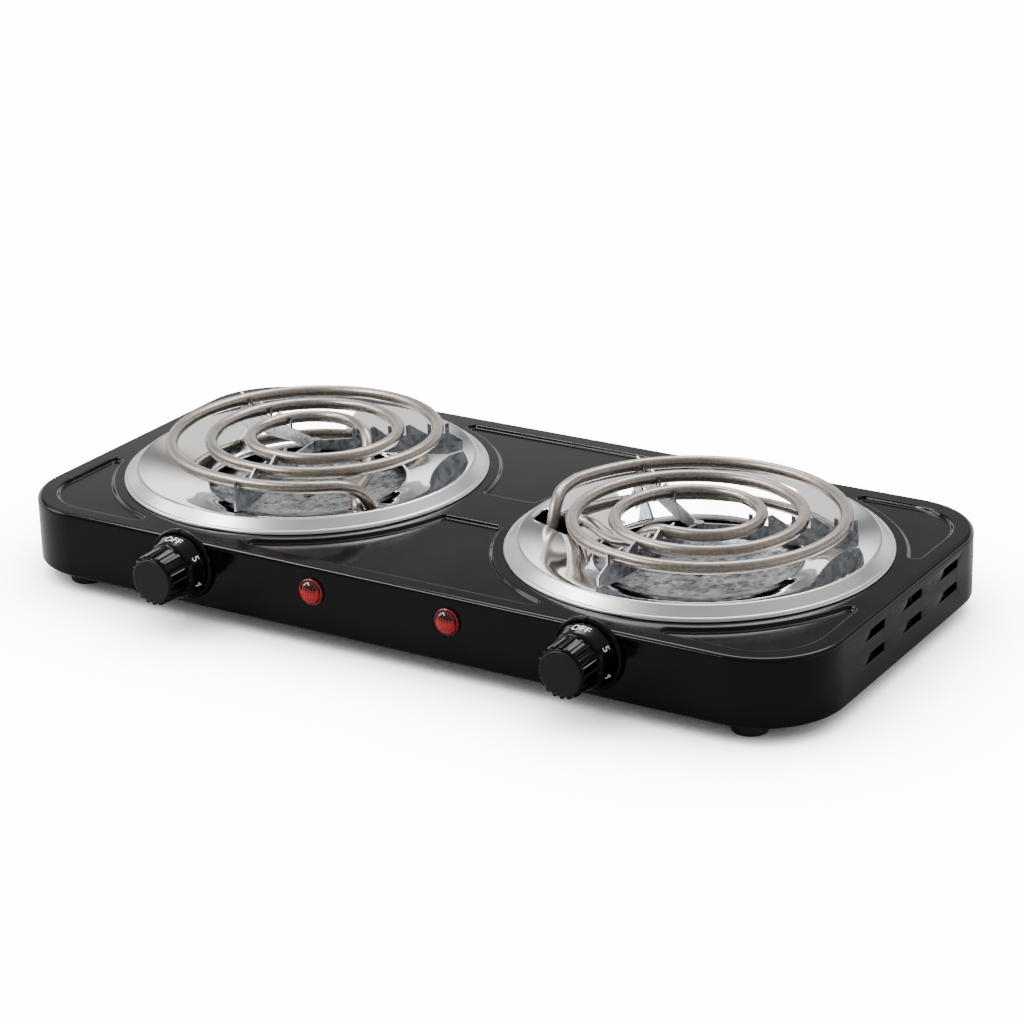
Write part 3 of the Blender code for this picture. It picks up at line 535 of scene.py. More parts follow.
def place_mesh(item: bpy.types.Object, matrix: Matrix) -> bpy.types.Object:
    """Move an object's mesh, so that the object itself stays at the origin.

    Args:
        item: The object.
        matrix: The placing of its mesh.

    Returns:
        The same object.
    """
    item.data.transform(matrix)
    if matrix.determinant() < 0:
        item.data.flip_normals()
    return item


def lathe(name: str, profile: Profile, material: bpy.types.Material, segments: int = 96,
          closed: bool = False, sharp: float = 35.0) -> bpy.types.Object:
    """Turn a profile about +Z.

    Args:
        name: The object's name.
        profile: Points of (radius, height).
        material: The object's material.
        segments: How many columns the turned shape has.
        closed: Whether the profile closes on itself and makes a ring.
        sharp: Edges that turn by more than this many degrees stay crisp.

    Returns:
        The new object, about the origin.
    """
    shape = bmesh.new()
    loops = []
    for radius, height in profile:
        if radius < 1e-7:
            loops.append([shape.verts.new((0, 0, height))] * segments)
            continue
        loops.append(add_loop(shape, ((radius * math.cos(TURN * k / segments),
                                       radius * math.sin(TURN * k / segments), height)
                                      for k in range(segments))))
    pairs = list(zip(loops, loops[1:]))
    if closed:
        pairs.append((loops[-1], loops[0]))
    for first, second in pairs:
        bridge(shape, first, second)
    return finish_mesh(name, shape, material, sharp)


def circle_points(centre: Flat, radius: float, sides: int) -> list[Flat]:
    """Return the points of a whole circle."""
    return arc(centre, radius, 0, TURN, sides)[:-1]


def bridge_all(shape: bmesh.types.BMesh, loops: Sequence[list], capped: bool = False) -> None:
    """Join each loop to the next one.

    Args:
        shape: The mesh to add to.
        loops: The loops, in order.
        capped: Whether the first and last loops are closed with a face.
    """
    for first, second in zip(loops, loops[1:]):
        bridge(shape, first, second)
    if capped:
        shape.faces.new(loops[0])
        shape.faces.new(loops[-1])


def rounded(profile: Profile, radius: float, steps: int = 4, closed: bool = False) -> list[Flat]:
    """Round the corners of a profile.

    Args:
        profile: The profile's corner points.
        radius: The largest corner radius, in metres.
        steps: How many short edges each corner becomes.
        closed: Whether the profile closes on itself.

    Returns:
        The profile with its corners rounded.
    """
    points = [Vector(point) for point in profile]
    made = []
    count = len(points)
    for k, corner in enumerate(points):
        if not closed and k in (0, count - 1):
            made.append(tuple(corner))
            continue
        before = points[k - 1] - corner
        after = points[(k + 1) % count] - corner
        reach = min(radius, before.length * 0.45, after.length * 0.45)
        start = corner + before.normalized() * reach
        end = corner + after.normalized() * reach
        for j in range(steps + 1):
            t = j / steps
            made.append(tuple(start.lerp(corner, t).lerp(corner.lerp(end, t), t)))
    return made


def sheet_outline(line: Profile, thickness: float) -> list[Flat]:
    """Thicken a line downwards into the outline of a bent sheet.

    Args:
        line: The points of the sheet's upper face.
        thickness: The sheet's thickness.

    Returns:
        The closed outline.
    """
    points = [Vector(point) for point in line]
    lower = []
    for k, point in enumerate(points):
        along = points[min(k + 1, len(points) - 1)] - points[max(k - 1, 0)]
        normal = Vector((-along.y, along.x)).normalized()
        if normal.y > 0 or (abs(normal.y) < 1e-6 and normal.x > 0):
            normal = -normal
        lower.append(tuple(point + normal * thickness))
    return [tuple(point) for point in points] + lower[::-1]


def arc(centre: Flat, radius: float, first: float, last: float, steps: int) -> list[Flat]:
    """Make the points along an arc.

    Args:
        centre: The arc's centre.
        radius: The arc's radius.
        first: The angle of the first point, in radians.
        last: The angle of the last point, in radians.
        steps: How many short edges the arc becomes.

    Returns:
        The points, one more than the steps.
    """
    points = []
    for k in range(steps + 1):
        angle = first + (last - first) * k / steps
        points.append((centre[0] + radius * math.cos(angle), centre[1] + radius * math.sin(angle)))
    return points


class Recipe:
    """A Geometry Nodes tree with named inputs, which makes one plain mesh."""

    def __init__(self, name: str) -> None:
        """Start a tree.

        Args:
            name: The tree's name.
        """
        self.tree = bpy.data.node_groups.new(name, "GeometryNodeTree")
        self.keys: dict[str, str] = {}
        self.entry = self.tree.nodes.new("NodeGroupInput")
        self.tree.interface.new_socket("Geometry", in_out="OUTPUT", socket_type="NodeSocketGeometry")
        self.carrier = self.input("Geometry", "NodeSocketGeometry")

    def input(self, name: str, kind: str = "NodeSocketFloat") -> Socket:
        """Add a named input to the tree.

        Args:
            name: The input's name.
            kind: The input's socket type.

        Returns:
            The socket that gives its value inside the tree.
        """
        socket = self.tree.interface.new_socket(name, in_out="INPUT", socket_type=kind)
        self.keys[name] = socket.identifier
        return self.entry.outputs[name]

    def add(self, kind: str, sockets: dict[str | int, object] | None = None,
            **settings: object) -> bpy.types.Node:
        """Add a node.

        Args:
            kind: The node's type name.
            sockets: For each input, a socket to link or a value to set.
            settings: Properties of the node.

        Returns:
            The new node.
        """
        node = self.tree.nodes.new(kind)
        for name, value in settings.items():
            setattr(node, name, value)
        for key, value in (sockets or {}).items():
            if isinstance(value, Socket):
                self.tree.links.new(value, node.inputs[key])
            else:
                node.inputs[key].default_value = value
        return node

    def math(self, operation: str, first: object, second: object = 0.0) -> Socket:
        """Add a Math node and return its value."""
        return self.add("ShaderNodeMath", {0: first, 1: second}, operation=operation).outputs[0]

    def close(self, geometry: Socket) -> None:
        """End the tree with real geometry and its material.

        Args:
            geometry: The result, which may hold instances.
        """
        material = self.input("Finish", "NodeSocketMaterial")
        real = self.add("GeometryNodeRealizeInstances", {"Geometry": geometry})
        dressed = self.add("GeometryNodeSetMaterial", {"Geometry": real.outputs[0], "Material": material})
        self.add("NodeGroupOutput", {"Geometry": dressed.outputs[0]})

    def cook(self, name: str, material: bpy.types.Material, sizes: dict[str, object],
             carrier: bpy.types.Object | None = None, sharp: float = 35.0) -> bpy.types.Object:
        """Run the tree and keep its result as a plain mesh.

        Args:
            name: The new object's name.
            material: The new object's material.
            sizes: A value for each named input.
            carrier: The object that the tree works on, which is removed.
            sharp: Edges that turn by more than this many degrees stay crisp.

        Returns:
            The new object.
        """
        if carrier is None:
            carrier = bpy.data.objects.new(name + "_carrier", bpy.data.meshes.new(name + "_carrier"))
            bpy.context.scene.collection.objects.link(carrier)
        modifier = carrier.modifiers.new("recipe", "NODES")
        modifier.node_group = self.tree
        for key, value in {**sizes, "Finish": material}.items():
            modifier[self.keys[key]] = value
        bpy.context.view_layer.update()
        graph = bpy.context.evaluated_depsgraph_get()
        mesh = bpy.data.meshes.new_from_object(carrier.evaluated_get(graph),
                                               preserve_all_data_layers=True, depsgraph=graph)
        bpy.data.objects.remove(carrier, do_unlink=True)
        return wrap(name, mesh, material, sharp)


def tube_recipe() -> Recipe:
    """Make the tree that sweeps a round tube along a curve and marks its length and girth.

    Returns:
        The tree.
    """
    recipe = Recipe("tube_along_path")
    radius = recipe.input("Radius")
    sides = recipe.input("Sides", "NodeSocketInt")
    reach = recipe.add("GeometryNodeSplineParameter").outputs["Length"]
    path = recipe.add("GeometryNodeStoreNamedAttribute",
                      {"Geometry": recipe.carrier, "Name": "along", "Value": reach}, data_type="FLOAT")
    ring = recipe.add("GeometryNodeCurvePrimitiveCircle", {"Resolution": sides, "Radius": radius})
    girth = recipe.add("GeometryNodeSplineParameter").outputs["Length"]
    ring = recipe.add("GeometryNodeStoreNamedAttribute",
                      {"Geometry": ring.outputs["Curve"], "Name": "around", "Value": girth},
                      data_type="FLOAT")
    tube = recipe.add("GeometryNodeCurveToMesh", {"Curve": path.outputs[0],
                                                  "Profile Curve": ring.outputs[0], "Fill Caps": True})
    recipe.close(tube.outputs[0])
    return recipe


def circle_recipe() -> Recipe:
    """Make the tree that sets copies of one shape round a circle, all facing outwards.

    Returns:
        The tree.
    """
    recipe = Recipe("copies_round_circle")
    radius = recipe.input("Radius")
    count = recipe.input("Count", "NodeSocketInt")
    shape = recipe.input("Shape", "NodeSocketObject")
    source = recipe.add("GeometryNodeObjectInfo", {"Object": shape, "As Instance": True})
    ring = recipe.add("GeometryNodeMeshCircle", {"Vertices": count, "Radius": radius})
    place = recipe.add("GeometryNodeInputPosition").outputs[0]
    turn = recipe.add("FunctionNodeAlignRotationToVector", {"Vector": place}, axis="X", pivot_axis="Z")
    copies = recipe.add("GeometryNodeInstanceOnPoints", {
        "Points": ring.outputs[0], "Instance": source.outputs["Geometry"], "Rotation": turn.outputs[0]})
    recipe.close(copies.outputs[0])
    return recipe


def grid_recipe() -> Recipe:
    """Make the tree that sets copies of one shape on a flat grid of points.

    Returns:
        The tree.
    """
    recipe = Recipe("copies_on_grid")
    width = recipe.input("Width")
    depth = recipe.input("Depth")
    shape = recipe.input("Shape", "NodeSocketObject")
    source = recipe.add("GeometryNodeObjectInfo", {"Object": shape, "As Instance": True})
    grid = recipe.add("GeometryNodeMeshGrid", {"Size X": width, "Size Y": depth,
                                               "Vertices X": 2, "Vertices Y": 2})
    copies = recipe.add("GeometryNodeInstanceOnPoints", {
        "Points": grid.outputs[0], "Instance": source.outputs["Geometry"]})
    recipe.close(copies.outputs[0])
    return recipe


def louvre_recipe() -> Recipe:
    """Make the tree that bends one flap inwards and repeats it in rows and columns.

    Returns:
        The tree.
    """
    recipe = Recipe("louvre_flaps")
    length = recipe.input("Length")
    height = recipe.input("Height")
    sheet = recipe.input("Sheet")
    push = recipe.input("Push")
    pitch = recipe.input("Pitch")
    gap = recipe.input("Row gap")
    size = recipe.add("ShaderNodeCombineXYZ", {"X": sheet, "Y": length, "Z": height})
    flap = recipe.add("GeometryNodeMeshCube", {"Size": size.outputs[0], "Vertices X": 2,
                                               "Vertices Y": 16, "Vertices Z": 2})
    place = recipe.add("ShaderNodeSeparateXYZ", {0: recipe.add("GeometryNodeInputPosition").outputs[0]})
    share = recipe.math("ADD", recipe.math("DIVIDE", place.outputs["Y"], length), 0.5)
    curve = recipe.math("POWER", share, 2.2)
    bend = recipe.math("MULTIPLY", curve, recipe.math("MULTIPLY", push, -1.0))
    offset = recipe.add("ShaderNodeCombineXYZ", {"X": bend})
    flap = recipe.add("GeometryNodeSetPosition", {"Geometry": flap.outputs[0], "Offset": offset.outputs[0]})
    column = recipe.add("GeometryNodeMeshGrid", {
        "Size X": gap, "Size Y": recipe.math("MULTIPLY", pitch, 2.0), "Vertices X": 2, "Vertices Y": 3})
    column = recipe.add("GeometryNodeTransform", {"Geometry": column.outputs[0],
                                                  "Rotation": (0.0, math.pi / 2, 0.0)})
    copies = recipe.add("GeometryNodeInstanceOnPoints", {"Points": column.outputs[0],
                                                         "Instance": flap.outputs[0]})
    recipe.close(copies.outputs[0])
    return recipe


def ride(item: bpy.types.Object, body: str, slot: str, *nodes: str) -> bpy.types.Object:
    """Tie a finished piece to its CAD body and hide the CAD nodes it stands for.

    Args:
        item: The piece.
        body: The body that it moves with.
        slot: Its material slot; not used.
        nodes: The CAD nodes that it replaces.

    Returns:
        The same piece.
    """
    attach(item, body)
    if nodes:
        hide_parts(*nodes)
    LOG.info("%s: %d faces on %s", item.name, len(item.data.polygons), body)
    return item


# ---------------------------------------------------------------- layout from the frame
def middle_of(node: str) -> Vector:
    """Return the middle of a CAD node's box."""
    return sum(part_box(node), Vector()) / 2


@dataclass(frozen=True)
class Layout:
    """Where the CAD frame puts the body, the burners and the controls."""

    low: Vector
    high: Vector
    centre: Vector
    pans: dict[str, Vector]
    knobs: dict[str, Vector]
    lamps: dict[str, Vector]

    @classmethod
    def read(cls) -> Layout:
        """Read the places from the CAD nodes' boxes.

        Returns:
            The layout.
        """
        low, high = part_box("housing")
        pans, knobs, lamps = {}, {}, {}
        for side in SIDES:
            pan, knob, lamp = (middle_of(side + part) for part in ("_drip_pan", "_knob", "_lamp_lens"))
            pans[side] = Vector((pan.x, pan.y, high.z))
            knobs[side] = Vector((knob.x, low.y, knob.z))
            lamps[side] = Vector((lamp.x, low.y, lamp.z))
        return cls(low, high, middle_of("housing"), pans, knobs, lamps)


# ---------------------------------------------------------------- pressed housing
@dataclass
class Housing:
    """The pressed top shell: walls, rolled edge, six recessed panels, louvres and openings."""

    layout: Layout
    corner: float = 44.4 * MM
    edge: float = 2.5 * MM
    sheet: float = 0.7 * MM
    pan_hole: float = 95.0 * MM
    recess_circle: float = 106.0 * MM
    recess_depth: float = 2.0 * MM
    recess_run: float = 2.0 * MM
    panel_margin: float = 10.5 * MM
    panel_corner: float = 4.2 * MM
    land_front: float = 21.5 * MM
    land_back: float = 14.0 * MM
    panel_shoulder: float = 0.2 * MM
    curl: float = 1.1 * MM
    pan_lip: Profile = in_mm((0.6, 0.0), (0.0, 0.0), (-0.45, 0.12), (-0.6, 0.6), (-0.6, 2.0))
    shaft_hole: float = 5.0 * MM
    lamp_hole: float = 5.6 * MM
    cord_hole: float = 6.0 * MM
    louvre_length: float = 33.0 * MM
    louvre_height: float = 5.0 * MM
    louvre_push: float = 4.2 * MM
    louvre_corner: float = 1.2 * MM
    louvre_pitch: float = 43.7 * MM
    louvre_rows: Flat = (8.2 * MM, 20.6 * MM)
    post_bore: float = 1.9 * MM
    post_radius: float = 5.0 * MM
    post_start: float = 9.0 * MM
    post_gap: float = 2.9 * MM
    corner_steps: int = 18
    paint: bpy.types.Material = field(init=False)
    half: Vector = field(init=False)
    spacing: float = field(init=False)
    shift: float = field(init=False)
    top: float = field(init=False)

    def __post_init__(self) -> None:
        """Take the sizes that follow from the frame."""
        self.paint = ENAMEL.make()
        self.half = (self.layout.high - self.layout.low) / 2
        self.spacing = (self.layout.pans["right"].x - self.layout.pans["left"].x) / 2
        self.shift = self.layout.pans["right"].y - self.layout.centre.y
        self.top = self.layout.high.z

    def build(self) -> None:
        """Make the shell, its flaps and its screw posts."""
        ride(self.shell(), "body", "black_paint", "housing")
        for side, sign in zip(SIDES, (-1, 1)):
            ride(self.flaps(side, sign), "body", "black_paint")
        ride(self.posts(), "body", "black_paint")

    def outline(self, inset: float, height: float) -> list[Solid]:
        """Draw the body's plan outline.

        Args:
            inset: How far inside the walls the outline runs.
            height: The outline's height.

        Returns:
            The outline's points, anticlockwise from the right rear corner.
        """
        points = []
        radius = self.corner - inset
        for quarter, (sx, sy) in enumerate(((1, 1), (-1, 1), (-1, -1), (1, -1))):
            middle = (self.layout.centre.x + sx * (self.half.x - self.corner),
                      self.layout.centre.y + sy * (self.half.y - self.corner))
            start = quarter * math.pi / 2
            points += arc(middle, radius, start, start + math.pi / 2, self.corner_steps)
        return [(x, y, height) for x, y in points]

    def centre_panel(self, sign: int, inset: float) -> list[Flat]:
        """Return the outline of the panel between the pans, in front or behind.

        Args:
            sign: -1 for the front panel, 1 for the back one.
            inset: How far inside the panel's upper edge the outline runs.

        Returns:
            The outline's points about the body's centre.
        """
        land = self.land_back if sign > 0 else self.land_front
        shift = sign * self.shift
        radius = max(self.panel_corner - inset, 0.6 * MM)
        circle = self.recess_circle + inset
        near = land + inset + radius
        far = self.half.y - self.panel_margin - inset - radius
        near_x = self.spacing - math.sqrt((circle + radius) ** 2 - (near - shift) ** 2)
        far_x = self.spacing - math.sqrt((circle + radius) ** 2 - (far - shift) ** 2)
        near_turn = math.atan2(shift - near, self.spacing - near_x)
        far_turn = math.atan2(shift - far, self.spacing - far_x)
        half = arc((near_x, near), radius, -math.pi / 2, near_turn, 7)
        half += self.pan_wall(circle, shift, near_turn, far_turn)
        half += arc((far_x, far), radius, far_turn, math.pi / 2, 7)
        points = half + [(-x, y) for x, y in reversed(half)]
        return [(x, sign * y) for x, y in points]

    def pan_wall(self, circle: float, shift: float, first: float, last: float) -> list[Flat]:
        """Follow a panel's wall round the right pan.

        Args:
            circle: The wall's radius about the pan.
            shift: How far behind the body's centre the pan stands.
            first: The angle at the wall's first end, in radians.
            last: The angle at its last end.

        Returns:
            The points between the two ends.
        """
        steps = 22
        points = []
        for k in range(1, steps):
            angle = first + (last - first) * k / steps
            points.append((self.spacing - circle * math.cos(angle), shift - circle * math.sin(angle)))
        return points

    def corner_panel(self, sign_x: int, sign_y: int, inset: float) -> list[Flat]:
        """Return the outline of a corner panel.

        Args:
            sign_x: -1 for the left side, 1 for the right.
            sign_y: -1 for the front, 1 for the back.
            inset: How far inside the panel's upper edge the outline runs.

        Returns:
            The outline's points about the body's centre.
        """
        shift = sign_y * self.shift
        radius = max(self.panel_corner - inset, 0.6 * MM)
        circle = self.recess_circle + inset
        side = self.half.x - self.panel_margin - inset
        end = self.half.y - self.panel_margin - inset
        outer = self.corner - self.panel_margin - inset
        side_x = side - radius
        end_y = end - radius
        side_y = shift + math.sqrt((circle + radius) ** 2 - (side_x - self.spacing) ** 2)
        end_x = self.spacing + math.sqrt((circle + radius) ** 2 - (end_y - shift) ** 2)
        side_turn = math.atan2(shift - side_y, self.spacing - side_x)
        end_turn = math.atan2(shift - end_y, self.spacing - end_x)
        points = arc((side_x, side_y), radius, side_turn, 0, 7)
        points += arc((side - outer, end - outer), outer, 0, math.pi / 2, 16)
        points += arc((end_x, end_y), radius, math.pi / 2, end_turn + TURN, 7)
        points += self.pan_wall(circle, shift, end_turn, side_turn)
        return [(sign_x * x, sign_y * y) for x, y in points]

    def press_panel(self, shape: bmesh.types.BMesh, outline: Callable[[float], list[Flat]]) -> list:
        """Press one recess into the top.

        Args:
            shape: The shell's mesh.
            outline: A function that gives the panel's outline at an inset.

        Returns:
            The vertices of the hole that the recess needs in the top plane.
        """
        steps = 9
        rings = [(-0.55 * MM, 0.0)]
        for k in range(steps + 1):
            share = k / steps
            depth = self.recess_depth * share * share * (3 - 2 * share)
            rings.append((-self.panel_shoulder + self.recess_run * share, depth))
        rings.append((self.recess_run + self.panel_shoulder, self.recess_depth))
        loops = []
        for inset, depth in rings:
            loops.append(add_loop(shape, ((self.layout.centre.x + x, self.layout.centre.y + y,
                                           self.top - depth) for x, y in outline(inset))))
        bridge_all(shape, loops)
        fill(shape, [loops[-1]], (0, 0, 1))
        return loops[0]

    def wall_holes(self, quarter: int) -> list[list[Solid]]:
        """Return the outlines of the holes in one straight wall.

        Args:
            quarter: 0 for the back, 1 for the left, 2 for the front, 3 for the right wall.

        Returns:
            A list of outlines.
        """
        layout = self.layout
        holes = []
        if quarter in (1, 3):
            x = layout.centre.x + (self.half.x if quarter == 3 else -self.half.x)
            for column in (-1, 0, 1):
                for row in self.louvre_rows:
                    y = layout.centre.y + column * self.louvre_pitch
                    z = self.top - row
                    holes.append([(x, y + u, z + v) for u, v in self.slot_outline()])
        else:
            y = layout.low.y if quarter == 2 else layout.high.y
            places = [(middle_of("cord_gland"), self.cord_hole)]
            if quarter == 2:
                places = [(place, self.shaft_hole) for place in layout.knobs.values()]
                places += [(place, self.lamp_hole) for place in layout.lamps.values()]
            for place, radius in places:
                holes.append([(place.x + u, y, place.z + v) for u, v in circle_points((0, 0), radius, 32)])
        return holes

    def slot_outline(self) -> list[Flat]:
        """Draw a louvre slot, with rounded corners at its open end.

        Returns:
            The slot's outline about its middle.
        """
        radius = self.louvre_corner
        half_l, half_h = self.louvre_length / 2, self.louvre_height / 2
        points = [(-half_l, -half_h)]
        points += arc((half_l - radius, -half_h + radius), radius, -math.pi / 2, 0, 4)
        points += arc((half_l - radius, half_h - radius), radius, 0, math.pi / 2, 4)
        return points + [(-half_l, half_h)]

    def shell(self) -> bpy.types.Object:
        """Make the pressed sheet and give it its thickness.

        Returns:
            The shell.
        """
        shape = bmesh.new()
        foot = self.layout.low.z
        curl = self.curl
        lower = []
        for k in range(6):
            angle = math.radians(90 * k / 5)
            lower.append(add_loop(shape, self.outline(curl * (1 - math.sin(angle)),
                                                      foot + curl * (1 - math.cos(angle)))))
        upper = [add_loop(shape, self.outline(0.0, self.top - self.edge - 0.4 * MM))]
        for k in range(9):
            angle = math.radians(90 * k / 8)
            upper.append(add_loop(shape, self.outline(self.edge * (1 - math.cos(angle)),
                                                      self.top - self.edge * (1 - math.sin(angle)))))
        upper.append(add_loop(shape, self.outline(self.edge + 0.4 * MM, self.top)))
        bridge_all(shape, lower)
        bridge_all(shape, upper)
        self.walls(shape, lower[-1], upper[0])
        holes = [self.press_panel(shape, lambda inset, s=s: self.centre_panel(s, inset)) for s in (-1, 1)]
        for sx in (-1, 1):
            for sy in (-1, 1):
                holes.append(self.press_panel(
                    shape, lambda inset, sx=sx, sy=sy: self.corner_panel(sx, sy, inset)))
        for place in self.layout.pans.values():
            rings = []
            for extra, drop in self.pan_lip:
                circle = circle_points((place.x, place.y), self.pan_hole + extra, 128)
                rings.append(add_loop(shape, ((x, y, self.top - drop) for x, y in circle)))
            bridge_all(shape, rings)
            holes.append(rings[0])
        fill(shape, [upper[-1]] + holes, (0, 0, 1))
        item = finish_mesh("housing_shell", shape, self.paint, 50.0)
        thicken(item, self.sheet)
        even_shading(item)
        return applied(item)

    def walls(self, shape: bmesh.types.BMesh, low: list, high: list) -> None:
        """Join the two wall rings, with the holes of each straight wall left open.

        Args:
            shape: The shell's mesh.
            low: The ring at the bottom of the walls.
            high: The ring at the top of the walls.
        """
        span = self.corner_steps + 1
        count = len(low)
        normals = ((0, 1, 0), (-1, 0, 0), (0, -1, 0), (1, 0, 0))
        for quarter in range(4):
            start = quarter * span
            bridge(shape, low[start:start + span], high[start:start + span], closed=False)
            last, following = start + span - 1, (start + span) % count
            frame = [low[last], low[following], high[following], high[last]]
            holes = [add_loop(shape, points) for points in self.wall_holes(quarter)]
            fill(shape, [frame] + holes, normals[quarter])

    def flaps(self, side: str, sign: int) -> bpy.types.Object:
        """Make the flaps pushed in behind the louvre slots of one side.

        Args:
            side: The side's name.
            sign: -1 for the left side, 1 for the right.

        Returns:
            The flaps as one piece.
        """
        clearance = 0.12 * MM
        sizes = {"Length": self.louvre_length, "Height": self.louvre_height - 2 * clearance,
                 "Sheet": self.sheet * 0.96, "Push": self.louvre_push, "Pitch": self.louvre_pitch,
                 "Row gap": self.louvre_rows[1] - self.louvre_rows[0]}
        item = louvre_recipe().cook(side + "_louvre_flaps", self.paint, sizes)
        x = self.half.x - self.sheet / 2
        place = Matrix.Translation((x, self.layout.centre.y, self.top - sum(self.louvre_rows) / 2))
        if sign < 0:
            place = Matrix.Scale(-1, 4, (1, 0, 0)) @ place
        return place_mesh(item, place)

    def posts(self) -> bpy.types.Object:
        """Make the four posts that the foot screws turn into.

        Returns:
            The posts as one piece.
        """
        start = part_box("left_front_foot_screw")[0].z + self.post_start
        end = self.top - self.post_gap
        profile = rounded([(self.post_bore, start), (self.post_radius, start), (self.post_radius, end),
                           (self.post_bore, end)], 0.3 * MM, 2, closed=True)
        post = lathe("screw_post", profile, self.paint, 40, closed=True)
        return copies_at_feet("screw_posts", post, self.paint)


def copies_at_feet(name: str, shape: bpy.types.Object, material: bpy.types.Material) -> bpy.types.Object:
    """Repeat a shape at the four feet.

    Args:
        name: The new piece's name.
        shape: The shape about the vertical axis through the origin, which is removed.
        material: The new piece's material.

    Returns:
        The four copies as one piece.
    """
    first = middle_of("left_front_foot")
    last = middle_of("right_rear_foot")
    sizes = {"Width": last.x - first.x, "Depth": last.y - first.y, "Shape": shape}
    item = grid_recipe().cook(name, material, sizes)
    bpy.data.objects.remove(shape, do_unlink=True)
    middle = (first + last) / 2
    return place_mesh(item, Matrix.Translation((middle.x, middle.y, 0)))


@dataclass
class Base:
    """The base tray with its lip, the four feet and the cord gland."""

    housing: Housing
    inset: float = 2.0 * MM
    sheet: float = 1.0 * MM
    round_edge: float = 1.2 * MM
    screw_hole: float = 2.3 * MM
    foot_bore: float = 2.1 * MM
    head_recess: float = 4.5 * MM
    head_depth: float = 4.0 * MM
    gland_bore: float = 3.5 * MM
    gland_ribs: int = 3
    rib_pitch: float = 1.7 * MM

    def build(self) -> None:
        """Make the tray, the feet and the gland."""
        ride(self.tray(), "body", "black_steel", "base_tray")
        ride(self.feet(), "body", "rubber", *self.foot_names())
        ride(self.gland(), "body", "rubber", "cord_gland")

    def foot_names(self) -> list[str]:
        """Return the names of the four CAD feet."""
        return [f"{side}_{end}_foot" for side in SIDES for end in ENDS]

    def tray(self) -> bpy.types.Object:
        """Make the tray as a thin pressed sheet with screw holes.

        Returns:
            The tray.
        """
        low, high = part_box("base_tray")
        shape = bmesh.new()
        loops = []
        steps = 5
        for k in range(steps + 1):
            angle = math.radians(90 * k / steps)
            loops.append(add_loop(shape, self.housing.outline(
                self.inset + self.round_edge * (1 - math.sin(angle)),
                low.z + self.round_edge * (1 - math.cos(angle)))))
        loops.append(add_loop(shape, self.housing.outline(self.inset, high.z)))
        bridge_all(shape, loops)
        holes = []
        for name in self.foot_names():
            place = middle_of(name)
            circle = circle_points((place.x, place.y), self.screw_hole, 24)
            holes.append(add_loop(shape, ((x, y, low.z) for x, y in circle)))
        fill(shape, [loops[0]] + holes, (0, 0, -1))
        item = finish_mesh("base_pan", shape, TRAY_PAINT.make(), 50.0)
        thicken(item, self.sheet)
        even_shading(item)
        return applied(item)

    def feet(self) -> bpy.types.Object:
        """Make the rubber feet with a recess for each screw's head.

        Returns:
            The feet as one piece.
        """
        low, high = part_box("left_front_foot")
        top = high.z
        radius = (high.x - low.x) / 2
        bore, recess, depth = self.foot_bore, self.head_recess, self.head_depth
        profile = [(recess, 0), (radius - 0.8 * MM, 0), (radius, 1.2 * MM), (radius - 0.4 * MM, top),
                   (bore, top), (bore, depth), (recess, depth)]
        rubber = RUBBER.make()
        foot = lathe("rubber_foot", rounded(profile, 0.5 * MM, 3, closed=True), rubber, 48, closed=True)
        return copies_at_feet("rubber_feet", foot, rubber)

    def gland(self) -> bpy.types.Object:
        """Make the ribbed rubber gland at the back.

        Returns:
            The gland.
        """
        low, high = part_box("cord_gland")
        place = (low + high) / 2
        wall = self.housing.layout.high.y
        reach = high.y - wall
        bore = self.gland_bore
        neck = self.housing.cord_hole - 0.4 * MM
        profile = [(bore, low.y - wall), (neck, low.y - wall), (neck, 0.2 * MM),
                   *in_mm((8.0, 0.2), (8.0, 2.0), (6.0, 2.4))]
        for k in range(self.gland_ribs):
            start = 3.0 * MM + k * self.rib_pitch
            profile += [(5.2 * MM, start), (5.2 * MM, start + 0.7 * MM), (5.8 * MM, start + 0.9 * MM),
                        (5.8 * MM, start + 1.5 * MM)]
        profile += [(5.0 * MM, reach), (bore, reach)]
        item = lathe("rear_gland", rounded(profile, 0.3 * MM, 2, closed=True), RUBBER.make("_gland"),
                     64, closed=True)
        turn = Matrix.Rotation(math.radians(-90), 4, "X")
        return place_mesh(item, Matrix.Translation((place.x, wall, place.z)) @ turn)


